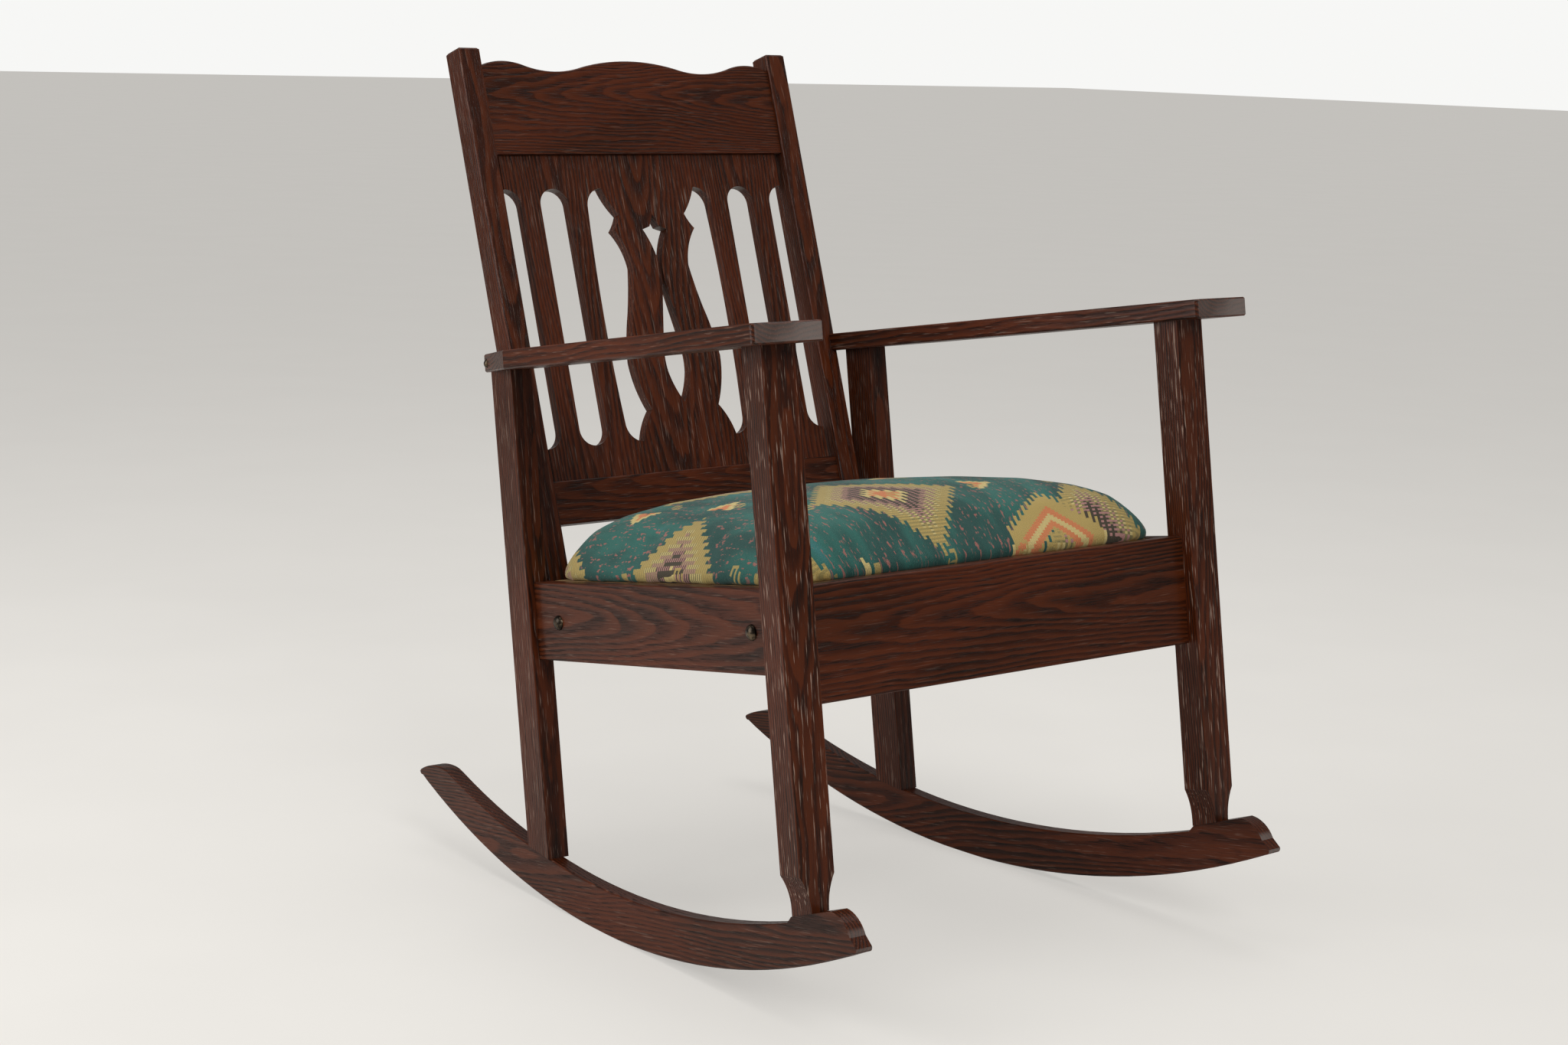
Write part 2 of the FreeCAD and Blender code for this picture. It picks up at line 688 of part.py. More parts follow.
def arm_bolt_place(frame, hand, sink):
    """A place on the arm bolt's axis, sunk from the arm's tapered edge, its Z axis outward."""
    depth = D.arm_bolt_back.value
    share = (depth - D.arm_taper.value) / (D.arm_end.value - D.arm_taper.value)
    inset = (D.arm_end_inset.value + D.arm_outer.value) * share - D.arm_outer.value
    angle = math.radians(D.arm_bolt_turn.value)
    out = Vector(-hand * math.cos(angle), math.sin(angle), 0)
    point = Vector(hand * inset, depth, (D.arm_height + D.arm_thick / 2).value) - out * dim(sink).value
    return frame * Placement(point, Rotation(Z_AXIS, out))


def make_back_post(side, hand, frame):
    """Raked square post whose foot laps over the rear seat rail."""
    foot = (D.post_foot - D.post_level) / cosine(D.post_rake)
    piece = Piece(f"back_post_{side}", BACK, hand)
    piece.block("post", (-post_outside, 0, foot), (-D.post_inside, D.post_deep, D.post_top))
    piece.ease("top_bevel", D.post_tip, lambda edge: lies_at(edge, "z", D.post_top.value), BEVEL)
    piece.ease("arris", D.post_ease, lambda edge: runs_along(edge, Z_AXIS))
    piece.block("rail_lap", (-post_outside - 5, D.rear_rail_back, rail_low - 40),
                (-D.post_inside + 5, D.rear_rail_back + 60, D.rail_top), cut=True, within=CHAIR)
    for name, near, thick, low, high in back_tenons():
        piece.block(f"{name}_mortise", (-D.post_inside - D.back_tenon - gap, near - gap, low - gap),
                    (-D.post_inside + 5, near + thick + gap, high + gap), cut=True)
    piece.rod("bolt_pilot", arm_bolt_place(frame, hand, D.arm_bolt_sink + D.arm_bolt_length),
              D.arm_bolt_wide, D.arm_bolt_length, cut=True)
    place = screw_place(hand, D.screw_length)
    piece.rod("screw_hole", place, D.screw_wide, D.screw_length + 5, cut=True)
    piece.rod("screw_seat", screw_place(hand, (D.screw_head - D.screw_wide) / 2), D.screw_head, 10, cut=True)


def back_tenons():
    """Crest and lower rail tenons: name, front, thickness, low and high."""
    third = D.tenon_thick
    crest_near = D.crest_set + (D.crest_thick - third) / 2
    low_near = D.low_rail_set + (D.low_rail_thick - third) / 2
    return (
        ("crest", crest_near, third, D.crest_low + D.tenon_shoulder, D.crest_end - D.tenon_shoulder),
        ("low_rail", low_near, third, D.low_rail_low + D.tenon_shoulder / 2,
         D.low_rail_low + D.low_rail_deep - D.splat_tongue - D.tenon_shoulder / 2),
    )


def arc_radius(half_chord, rise):
    """Radius of an arc from half its chord and its rise."""
    return (half_chord * half_chord + rise * rise) / (rise * 2)


def make_back_rails():
    """Crest rail with its wavy top, and the plain lower rail; both are grooved for the splat."""
    hump = arc_radius((D.post_inside - D.crest_hump_from) / 2, D.crest_hump - D.crest_end)
    valley = arc_radius((D.crest_hump_from - D.crest_valley_from) / 2, D.crest_end - D.crest_valley)
    peak = arc_radius(D.crest_valley_from, D.crest_peak - D.crest_end)
    half_top = [
        (D.post_inside, D.crest_low),
        (D.post_inside, D.crest_end),
        (D.crest_hump_from, D.crest_end, hump),
        (D.crest_valley_from, D.crest_end, -valley),
    ]
    left_top = returned(half_top)
    outline = half_top + [(left_top[0][0], left_top[0][1], peak)] + left_top[1:]
    crest, low_rail = back_tenons()
    back = D.crest_set + D.crest_thick
    piece = Piece("crest_rail", BACK)
    piece.slab("board", "XZ_Plane", outline, D.crest_set, back)
    faces = (D.crest_set.value, back.value)
    piece.ease("arris", D.post_ease, lambda edge: (lies_at(edge, "y", faces[0]) or lies_at(edge, "y", faces[1]))
               and edge.Vertexes[0].Z > D.crest_low.value + 1 and edge.Vertexes[-1].Z > D.crest_low.value + 1, BEVEL)
    reach = D.post_inside + D.back_tenon
    piece.block("tenons", (-reach, crest[1], crest[3]), (reach, crest[1] + crest[2], crest[4]))
    groove_piece(piece, D.crest_low - 5, D.crest_low + D.splat_tongue + gap)
    top = D.low_rail_low + D.low_rail_deep
    piece = Piece("lower_back_rail", BACK)
    piece.block("board", (-D.post_inside, D.low_rail_set, D.low_rail_low),
                (D.post_inside, D.low_rail_set + D.low_rail_thick, top))
    piece.ease("arris", D.post_ease, lambda edge: runs_along(edge, X_AXIS))
    piece.block("tenons", (-reach, low_rail[1], low_rail[3]), (reach, low_rail[1] + low_rail[2], low_rail[4]))
    groove_piece(piece, top - D.splat_tongue - gap, top + 5)


def groove_piece(piece, low, high):
    """Groove that takes the splat boards' tongues."""
    piece.block("splat_groove", (-D.splat_half - gap, D.splat_set - gap, low),
                (D.splat_half + gap, D.splat_set + D.splat_thick + gap, high), cut=True)


def make_side_splat(side, hand):
    """Side board of the splat: one round-ended slot, half a slot outside, a bowed gap inside."""
    low = D.low_rail_low + D.low_rail_deep - D.splat_tongue
    top = D.crest_low + D.splat_tongue
    bow = arc_radius((D.slot_top - D.slot_low - D.gap_round * 2) / 2, D.gap_waist - D.gap_end)
    edge_round = D.splat_half - D.edge_slot
    outline = [
        (-D.splat_half, low),
        (-D.splat_seam, low),
        (-D.splat_seam, D.slot_low),
        (-D.gap_end, D.slot_low + D.gap_round, -D.gap_round),
        (-D.gap_end, D.slot_top - D.gap_round, -bow),
        (-D.splat_seam, D.slot_top, -D.gap_round),
        (-D.splat_seam, top),
        (-D.splat_half, top),
        (-D.splat_half, D.slot_top),
        (-D.edge_slot, D.slot_top - edge_round, -edge_round),
        (-D.edge_slot, D.slot_low + edge_round),
        (-D.splat_half, D.slot_low, -edge_round),
    ]
    piece = Piece(f"splat_{side}", BACK, hand)
    piece.slab("board", "XZ_Plane", outline, D.splat_set, D.splat_set + D.splat_thick)
    round_end = D.slot_wide / 2
    inner = D.slot_outer - D.slot_wide
    middle = D.slot_outer - round_end
    slot = [
        (-D.slot_outer, D.slot_low + round_end),
        (-middle, D.slot_low, round_end),
        (-inner, D.slot_low + round_end, round_end),
        (-inner, D.slot_top - round_end),
        (-middle, D.slot_top, round_end),
        (-D.slot_outer, D.slot_top - round_end, round_end),
    ]
    piece.slab("slot", "XZ_Plane", slot, D.splat_set - 5, D.splat_set + D.splat_thick + 5, cut=True)


def make_middle_splat():
    """Middle board: cusped, waisted edges round a tulip-shaped opening."""
    low = D.low_rail_low + D.low_rail_deep - D.splat_tongue
    top = D.crest_low + D.splat_tongue
    seam = D.splat_seam
    right = [
        (seam, low),
        (seam, D.slot_low - 1),
        (seam - 19.5, D.slot_low + 38, 93),
        (seam - 4.0, D.slot_low + 98, 150),
        (seam - 16.5, D.slot_low + 158, 293),
        (seam - 28.0, D.slot_low + 213, -500),
        (seam - 9.0, D.slot_top - 52, -80),
        (seam - 21.0, D.slot_top - 33.5, -60),
        (seam, D.slot_top + 1, 100),
        (seam, top),
    ]
    piece = Piece("splat_middle", BACK)
    piece.slab("board", "XZ_Plane", right + returned(right), D.splat_set, D.splat_set + D.splat_thick)
    waist_low = D.tulip_waist_level - 8
    waist_top = D.tulip_waist_level + 8
    tulip = [
        (0, D.tulip_low),
        (D.tulip_half - 1, D.tulip_low + 39, 113),
        (D.tulip_half - 2, D.tulip_low + 74, 96),
        (D.tulip_waist, waist_low),
        (D.tulip_waist, waist_top),
        (D.tulip_half, D.tulip_ear, -119),
        (D.tulip_half * 0.39, D.tulip_ear + 3.5),
        (0, D.tulip_top),
    ]
    left = returned(tulip)
    whole = tulip + left[1:-1]
    closing = (whole[0][0], whole[0][1], *left[-1][2:])
    piece.slab("tulip", "XZ_Plane", [closing] + whole[1:], D.splat_set - 5, D.splat_set + D.splat_thick + 5, cut=True)


def make_cleats():
    """Cleats inside the rails, on which the seat frame rests."""
    for side, hand, frame in SIDES:
        piece = Piece(f"seat_cleat_{side}", frame, hand)
        piece.block("bar", (cleat_inner - D.cleat_thick, D.cleat_front, cleat_top - D.cleat_deep),
                    (cleat_inner, D.cleat_back, cleat_top))
        for name, depth in (("front", D.bolt_front), ("back", D.bolt_back)):
            piece.rod(f"{name}_bolt_hole", bolt_place(frame, hand, 80, depth), D.bolt_wide + 2 * D.bolt_gap, 100, cut=True)
    near = D.apron_inset + D.apron_thick
    far = near + D.front_cleat_thick
    wide_near, wide_far = inner_half(cleat_inner, near), inner_half(cleat_inner, far)
    piece = Piece("seat_cleat_front")
    piece.slab("bar", "XY_Plane", [(-wide_near, near), (wide_near, near), (wide_far, far), (-wide_far, far)],
               cleat_top - D.front_cleat_deep, cleat_top)


def make_bolt(label, place, wide, head, dome, length):
    """Dome-head bolt whose head seats on the XY plane of its place."""
    piece = Piece(label, place)
    piece.peg("shank", place * Placement(Vector(0, 0, -dim(length).value), Rotation()), wide, length, 16)
    piece.peg("head", place, head, dome, 16)
    piece.ease("dome", dome * 0.7, lambda edge: rises_to(edge, dome.value), BEVEL)


def rises_to(edge, level):
    """Whether an edge lies flat at a level of its own body."""
    return all(abs(corner.Point.z - level) < 1e-4 for corner in edge.Vertexes)


def make_rail_bolts():
    """Bolts through rails and cleats, with their washers and nuts inside."""
    shank = D.rail_thick + D.cleat_thick + D.washer_thick + D.nut_thick + D.bolt_tip
    for side, hand, frame in SIDES:
        for name, depth in (("front", D.bolt_front), ("back", D.bolt_back)):
            mark = f"{side}_{name}"
            make_bolt(f"rail_bolt_{mark}", bolt_place(frame, hand, D.rail_inset, depth),
                      D.bolt_wide, D.bolt_head, D.bolt_dome, shank)
            seat = cleat_inner + D.washer_thick
            piece = Piece(f"rail_washer_{mark}", bolt_place(frame, hand, seat, depth))
            edge = D.washer_wide / 2
            piece.slab("plate", "XY_Plane", [(-edge, -edge), (edge, -edge), (edge, edge), (-edge, edge)], 0, D.washer_thick)
            piece.rod("hole", piece.frame, D.bolt_wide + 2 * D.bolt_gap, D.washer_thick, cut=True)
            piece = Piece(f"rail_nut_{mark}", bolt_place(frame, hand, seat + D.nut_thick, depth))
            half = D.nut_half
            point = half / cosine(Dim(30, "30"))
            hexagon = [(point, 0), (point / 2, half), (-point / 2, half), (-point, 0), (-point / 2, -half), (point / 2, -half)]
            piece.slab("hexagon", "XY_Plane", hexagon, 0, D.nut_thick)
            piece.rod("hole", piece.frame, D.bolt_wide, D.nut_thick, cut=True)


def make_small_fixings():
    """Arm bolts, post screws and dowels."""
    for side, hand, frame in SIDES:
        make_bolt(f"arm_bolt_{side}", arm_bolt_place(frame, hand, D.arm_bolt_sink),
                  D.arm_bolt_wide, D.arm_bolt_head, D.arm_bolt_dome, D.arm_bolt_length)
        taper = (D.screw_head - D.screw_wide) / 2
        place = screw_place(hand, 0)
        piece = Piece(f"post_screw_{side}", place)
        piece.peg("shank", screw_place(hand, D.screw_length), D.screw_wide, D.screw_length, 16)
        piece.peg("head", screw_place(hand, taper), D.screw_head, taper, 16)
        low = -taper.value
        piece.ease("taper", taper * 0.98, lambda edge, at=low: rises_to(edge, at) and edge.Length > D.screw_wide.value * 0.25, BEVEL)
        for name, depth, foot in (("front", front_dowel, land(front_dowel)), ("rear", rear_dowel, rocker_top(rear_dowel))):
            place = side_place(frame, hand, rocker_mid.value, depth.value, (foot - foot_drop).value)
            piece = Piece(f"foot_dowel_{side}_{name}", place)
            piece.peg("dowel", place, D.dowel_wide, D.dowel_length, 8)
            place = side_place(frame, hand, rocker_mid.value, depth.value, (D.arm_height - arm_drop).value)
            piece = Piece(f"arm_dowel_{side}_{name}", place)
            piece.peg("dowel", place, D.dowel_wide, D.arm_dowel_length, 8)


def make_seat():
    """Drop-in seat: four bars, webbing, the domed upholstery and a dust cover below."""
    low, top = cleat_top, cleat_top + D.seat_frame_thick
    outer = D.rail_inset + D.rail_thick + D.seat_frame_gap
    near, far = D.seat_front, D.seat_back
    front_in, back_in = near + D.seat_frame_wide, far - D.seat_frame_wide
    for label, start, stop in (("seat_frame_front", near, front_in), ("seat_frame_rear", back_in, far)):
        wide_a, wide_b = inner_half(outer, start), inner_half(outer, stop)
        piece = Piece(label)
        piece.slab("bar", "XY_Plane", [(-wide_a, start), (wide_a, start), (wide_b, stop), (-wide_b, stop)], low, top)
    inner = outer + D.seat_frame_wide
    for side, hand, _ in SIDES:
        outline = [
            (-inner_half(outer, front_in), front_in),
            (-inner_half(inner, front_in), front_in),
            (-inner_half(inner, back_in), back_in),
            (-inner_half(outer, back_in), back_in),
        ]
        piece = Piece(f"seat_frame_{side}", CHAIR, hand)
        piece.slab("bar", "XY_Plane", outline, low, top)
    inset = D.webbing_inset
    piece = Piece("seat_webbing")
    piece.slab("web", "XY_Plane", inset_outline(outer + inset, near + inset, far - inset), top, top + D.webbing_thick)
    margin = cleat_inner + D.dust_margin
    piece = Piece("seat_dust_cover")
    start = D.apron_inset + D.apron_thick + D.front_cleat_thick + D.dust_margin
    piece.slab("cloth", "XY_Plane", inset_outline(margin, start, far - D.dust_margin * 4), low - D.dust_thick, low)
    make_cushion(top + D.webbing_thick)


def inset_outline(inset, near, far):
    """Outline across the seat between the side frames at an inset."""
    wide_near, wide_far = inner_half(inset, near), inner_half(inset, far)
    return [(-wide_near, near), (wide_near, near), (wide_far, far), (-wide_far, far)]


def make_cushion(low):
    """Domed upholstery: sides drawn in at the rails, then a crown that flattens to the middle."""
    outer = D.rail_inset + D.rail_thick + D.cushion_gap
    near, far = D.seat_front - D.cushion_gap, D.seat_back + D.cushion_gap
    span = (far - near) / 2
    levels = [(0.006, 0.0), (0.0, 0.09), (0.036, 0.37), (0.12, 0.595), (0.28, 0.80), (0.51, 0.935), (0.78, 0.993)]
    piece = Piece("seat_cushion")
    rings = []
    for share, rise in levels:
        inset = span * share
        start, stop = near + inset, far - inset
        edge = outer + inset
        wide_a, wide_b = inner_half(edge, start), inner_half(edge, stop)
        bend = (D.cushion_corner + (span - D.cushion_corner) * (0.75 * share)) * (1 - share)
        slant = bend * tangent(D.splay)
        outline = [
            (wide_a - bend, start),
            (wide_a - slant, start + bend, bend),
            (wide_b + slant, stop - bend),
            (wide_b - bend, stop, bend),
            (bend - wide_b, stop),
            (-wide_b - slant, stop - bend, bend),
            (slant - wide_a, start + bend),
            (bend - wide_a, start, bend),
        ]
        rings.append((outline, low + D.crown * rise))
    piece.stacked("dome", rings)


def density(label):
    """Density of a piece's material, in kilograms per cubic metre."""
    if any(word in label for word in ("bolt", "nut", "washer", "screw")):
        return D.steel_density.value
    if any(word in label for word in ("cushion", "webbing", "dust_cover")):
        return D.cloth_density.value
    return D.oak_density.value


def centre_of_mass():
    """The whole chair's centre of mass in its own upright frame."""
    mass = 0.0
    moment = Vector()
    for piece in PIECES:
        shape = piece.body.Shape.copy()
        shape.Placement = piece.frame
        weight = shape.Volume * density(piece.body.Label)
        mass += weight
        moment += shape.Solids[0].CenterOfMass * weight
    return moment * (1.0 / mass)


def stand_chair():
    """Lean the chair back to its rest, set its rockers on the floor and centre its box."""
    box = FreeCAD.BoundBox()
    for piece in PIECES:
        shape = piece.body.Shape.copy()
        shape.Placement = LEANING * piece.frame
        box.add(shape.optimalBoundingBox(False, False))
    shift = Vector(-(box.XMin + box.XMax) / 2, -(box.YMin + box.YMax) / 2, -box.ZMin)
    whole = Placement(shift, Rotation()) * LEANING
    for piece in PIECES:
        piece.body.Placement = whole * piece.frame
    doc.recompute()
    centre = whole * centre_of_mass()
    contact = whole * Vector(0, D.rocker_low.value + D.rocker_arc.value * math.sin(math.radians(D.rest_lean.value)), 0)
    reach = math.sqrt(2 * D.rocker_arc.value * D.rest_flat.value)
    print(f"shift {shift.y:.4f} {shift.z:.4f}")
    print(f"box {box.XLength:.2f} x {box.YLength:.2f} x {box.ZLength:.2f}")
    print(f"centre of mass {centre.y:.1f} {centre.z:.1f}, flats {contact.y - reach:.1f} to {contact.y + reach:.1f}")


for side_name, side_hand, side_frame in SIDES:
    make_rocker(side_name, side_hand, side_frame)
    make_front_leg(side_name, side_hand, side_frame)
    make_rear_leg(side_name, side_hand, side_frame)
    make_side_rail(side_name, side_hand, side_frame)
    make_arm(side_name, side_hand, side_frame)
    make_back_post(side_name, side_hand, side_frame)
    make_side_splat(side_name, side_hand)
make_rails_across()
make_back_rails()
make_middle_splat()
make_cleats()
make_rail_bolts()
make_small_fixings()
make_seat()
doc.recompute()
stand_chair()

# Nothing is written unless every object is sound.
for item in doc.Objects:
    if "Invalid" in item.State or "Error" in item.State:
        raise ValueError(f"{item.Name} failed: {item.State}")
for piece in PIECES:
    shape = piece.body.Shape
    if shape.isNull() or not shape.isValid() or len(shape.Solids) != 1:
        raise ValueError(f"{piece.body.Label} is not one sound solid")

os.makedirs("parts", exist_ok=True)
for piece in PIECES:
    piece.body.Shape.exportStep(os.path.join("parts", piece.body.Label + ".step"))
print(f"{len(PIECES)} pieces")
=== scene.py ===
"""Looks of a stained oak rocking chair with a domed tapestry seat."""

import logging
import math
from dataclasses import dataclass, field
from enum import Enum

import bmesh
import bpy
import numpy as np
from mathutils import Matrix, Vector

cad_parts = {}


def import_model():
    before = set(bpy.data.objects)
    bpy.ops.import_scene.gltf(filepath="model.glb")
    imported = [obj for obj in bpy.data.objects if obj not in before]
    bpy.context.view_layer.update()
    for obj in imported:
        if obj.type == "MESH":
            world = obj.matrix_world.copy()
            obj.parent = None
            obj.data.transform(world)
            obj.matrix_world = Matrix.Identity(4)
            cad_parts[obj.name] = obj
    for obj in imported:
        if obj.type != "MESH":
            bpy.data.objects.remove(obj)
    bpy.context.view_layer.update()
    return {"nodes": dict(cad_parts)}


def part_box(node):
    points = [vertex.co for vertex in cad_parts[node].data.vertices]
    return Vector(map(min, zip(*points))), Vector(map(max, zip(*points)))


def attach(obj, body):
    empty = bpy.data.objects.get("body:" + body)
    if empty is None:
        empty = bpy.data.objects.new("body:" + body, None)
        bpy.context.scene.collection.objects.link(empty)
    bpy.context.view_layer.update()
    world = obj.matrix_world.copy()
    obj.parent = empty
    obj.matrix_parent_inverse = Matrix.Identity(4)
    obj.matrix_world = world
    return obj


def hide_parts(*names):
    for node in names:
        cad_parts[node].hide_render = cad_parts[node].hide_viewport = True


log = logging.getLogger("rocking_chair")

LEAN = math.radians(9.29)
SPLAY = math.radians(3.06)
RAKE = math.radians(9.49)
SHIFT = Vector((0.0, -0.3766591, 0.0517384))
HALF_WIDTH = 0.3168


def tone(code: str) -> tuple[float, float, float, float]:
    """Turns a six-digit screen colour into the linear colour that shaders take.

    Args:
        code: Red, green and blue as hexadecimal digits.

    Returns:
        Linear red, green and blue, with full alpha.
    """
    parts = [int(code[start:start + 2], 16) / 255 for start in (0, 2, 4)]
    linear = [part / 12.92 if part <= 0.04045 else ((part + 0.055) / 1.055) ** 2.4 for part in parts]
    return linear[0], linear[1], linear[2], 1.0


def leaned(point: Vector) -> Vector:
    """Moves a direction of the upright chair to where it points once the chair leans back."""
    return Matrix.Rotation(-LEAN, 3, "X") @ Vector(point)


def stand(point: Vector) -> Vector:
    """Moves a point of the upright chair, in metres, to its place at rest."""
    return leaned(point) + SHIFT


def half_at(inset: float, depth: float) -> float:
    """Half the clear width between the side frames.

    Args:
        inset: Distance in from a side frame's outer face, in metres.
        depth: Distance back from the front legs' front face, in metres.

    Returns:
        Half of the width there, in metres.
    """
    return HALF_WIDTH - inset / math.cos(SPLAY) - depth * math.tan(SPLAY)


class Run(Enum):
    """The way a board's grain runs, and the way its wide face looks, in the upright chair."""

    UPRIGHT = ((0, 0, 1), (0, -1, 0))
    ACROSS = ((1, 0, 0), (0, -1, 0))
    BACKWARD_LEFT = ((math.sin(SPLAY), math.cos(SPLAY), 0), (-math.cos(SPLAY), math.sin(SPLAY), 0))
    BACKWARD_RIGHT = ((-math.sin(SPLAY), math.cos(SPLAY), 0), (math.cos(SPLAY), math.sin(SPLAY), 0))
    ARM_LEFT = ((math.sin(SPLAY), math.cos(SPLAY), 0), (0, 0, 1))
    ARM_RIGHT = ((-math.sin(SPLAY), math.cos(SPLAY), 0), (0, 0, 1))
    BACK_UPRIGHT = ((0, math.sin(RAKE), math.cos(RAKE)), (0, -math.cos(RAKE), math.sin(RAKE)))
    BACK_ACROSS = ((1, 0, 0), (0, -math.cos(RAKE), math.sin(RAKE)))

    @property
    def turn(self) -> Matrix:
        """Rotation that brings the grain to Z and the wide face's normal to X."""
        along, face = (leaned(Vector(way)).normalized() for way in self.value)
        return Matrix((face, along.cross(face), along))


class Wiring:
    """Adds nodes to one node tree and joins them."""

    def __init__(self, tree: bpy.types.NodeTree) -> None:
        """Keeps the tree that the nodes go into."""
        self.tree = tree

    def add(self, kind: str, **settings: object) -> bpy.types.Node:
        """Adds a node.

        Args:
            kind: The node's type.
            **settings: Properties to set on it.

        Returns:
            The new node.
        """
        node = self.tree.nodes.new(kind)
        for name, value in settings.items():
            setattr(node, name, value)
        return node

    def feed(self, socket: bpy.types.NodeSocket, value: object) -> None:
        """Joins another socket to this one, or sets its value.

        Args:
            socket: The socket to feed.
            value: Another socket, or a plain value.
        """
        if isinstance(value, bpy.types.NodeSocket):
            self.tree.links.new(value, socket)
        else:
            socket.default_value = value

    def math(self, operation: str, *values: object) -> bpy.types.NodeSocket:
        """Works out one step of arithmetic.

        Args:
            operation: The Math node's operation.
            *values: Its operands, as numbers or sockets.

        Returns:
            The result's socket.
        """
        node = self.add("ShaderNodeMath", operation=operation)
        for number, value in enumerate(values):
            self.feed(node.inputs[number], value)
        return node.outputs[0]

    def both(self, first: object, second: object) -> bpy.types.NodeSocket:
        """Product of two masks."""
        return self.math("MULTIPLY", first, second)

    def below(self, value: object, limit: object) -> bpy.types.NodeSocket:
        """Mask that is 1 where a value is under a limit."""
        return self.math("LESS_THAN", value, limit)

    def above(self, value: object, limit: object) -> bpy.types.NodeSocket:
        """Mask that is 1 where a value is over a limit."""
        return self.math("GREATER_THAN", value, limit)

    def folded(self, value: object, size: float, offset: float = 0.0) -> bpy.types.NodeSocket:
        """Repeats a length and centres each repeat on zero.

        Args:
            value: The length to repeat.
            size: Length of one repeat.
            offset: How far the repeat is moved.

        Returns:
            A value from minus half the size to plus half.
        """
        moved = self.math("ADD", value, offset + size / 2)
        return self.math("SUBTRACT", self.math("FLOORED_MODULO", moved, size), size / 2)

    def mix(self, share: object, low: object, high: object) -> bpy.types.NodeSocket:
        """Mixes two colours.

        Args:
            share: Share of the second colour.
            low: First colour.
            high: Second colour.

        Returns:
            The mixed colour's socket.
        """
        node = self.add("ShaderNodeMix", data_type="RGBA")
        self.feed(node.inputs[0], share)
        self.feed(node.inputs[6], low)
        self.feed(node.inputs[7], high)
        return node.outputs[2]

    def spread(self, value: object, low: float, high: float, bottom: float = 0.0,
               top: float = 1.0) -> bpy.types.NodeSocket:
        """Maps a range of values smoothly onto another.

        Args:
            value: The value to map.
            low: Start of its range.
            high: End of its range.
            bottom: Result at the start.
            top: Result at the end.

        Returns:
            The mapped value's socket.
        """
        node = self.add("ShaderNodeMapRange", interpolation_type="SMOOTHSTEP")
        self.feed(node.inputs[0], value)
        for number, limit in enumerate((low, high, bottom, top), start=1):
            node.inputs[number].default_value = limit
        return node.outputs[0]

    def stretched(self, vector: object, scale: tuple[float, float, float]) -> bpy.types.NodeSocket:
        """Scales a vector by a different amount along each axis.

        Args:
            vector: The vector.
            scale: Its factors along X, Y and Z.

        Returns:
            The scaled vector's socket.
        """
        node = self.add("ShaderNodeVectorMath", operation="MULTIPLY")
        self.feed(node.inputs[0], vector)
        node.inputs[1].default_value = scale
        return node.outputs[0]

    def noise(self, vector: object, scale: float, detail: float = 2.0,
              rough: float = 0.5) -> bpy.types.NodeSocket:
        """Noise over a vector.

        Args:
            vector: Where it is read.
            scale: Its fineness.
            detail: How many finer layers it has.
            rough: How strong those are.

        Returns:
            The noise value's socket, about 0.5 on average.
        """
        node = self.add("ShaderNodeTexNoise")
        self.feed(node.inputs["Vector"], vector)
        node.inputs["Scale"].default_value = scale
        node.inputs["Detail"].default_value = detail
        node.inputs["Roughness"].default_value = rough
        return node.outputs[0]

    def split(self, vector: object) -> list[bpy.types.NodeSocket]:
        """Splits a vector into its parts.

        Args:
            vector: The vector.

        Returns:
            The sockets of its X, Y and Z.
        """
        node = self.add("ShaderNodeSeparateXYZ")
        self.feed(node.inputs[0], vector)
        return list(node.outputs)

    def relief(self, height: object, strength: float, depth: float) -> bpy.types.NodeSocket:
        """Bumps a surface.

        Args:
            height: Height over the surface, from 0 to 1.
            strength: Share of the bump that shows.
            depth: Height of a full step, in metres.

        Returns:
            The normal's socket.
        """
        node = self.add("ShaderNodeBump")
        node.inputs["Strength"].default_value = strength
        node.inputs["Distance"].default_value = depth
        self.feed(node.inputs["Height"], height)
        return node.outputs[0]


def new_group(name: str, inputs: dict[str, str],
              outputs: dict[str, str]) -> tuple[Wiring, bpy.types.Node, bpy.types.Node]:
    """Starts a shader node group.

    Args:
        name: The group's name.
        inputs: Names and kinds of its inputs.
        outputs: Names and kinds of its outputs.

    Returns:
        The group's wiring, its input node and its output node.
    """
    tree = bpy.data.node_groups.new(name, "ShaderNodeTree")
    for way, sockets in (("INPUT", inputs), ("OUTPUT", outputs)):
        for label, kind in sockets.items():
            tree.interface.new_socket(name=label, in_out=way, socket_type=f"NodeSocket{kind}")
    wiring = Wiring(tree)
    return wiring, wiring.add("NodeGroupInput"), wiring.add("NodeGroupOutput")


def new_material(name: str) -> tuple[bpy.types.Material, Wiring, bpy.types.Node]:
    """Starts a material with one Principled shader.

    Args:
        name: The material's name.

    Returns:
        The material, its wiring and its shader.
    """
    material = bpy.data.materials.new(name)
    material.use_nodes = True
    material.node_tree.nodes.clear()
    wiring = Wiring(material.node_tree)
    shader = wiring.add("ShaderNodeBsdfPrincipled")
    output = wiring.add("ShaderNodeOutputMaterial")
    wiring.feed(output.inputs["Surface"], shader.outputs[0])
    return material, wiring, shader


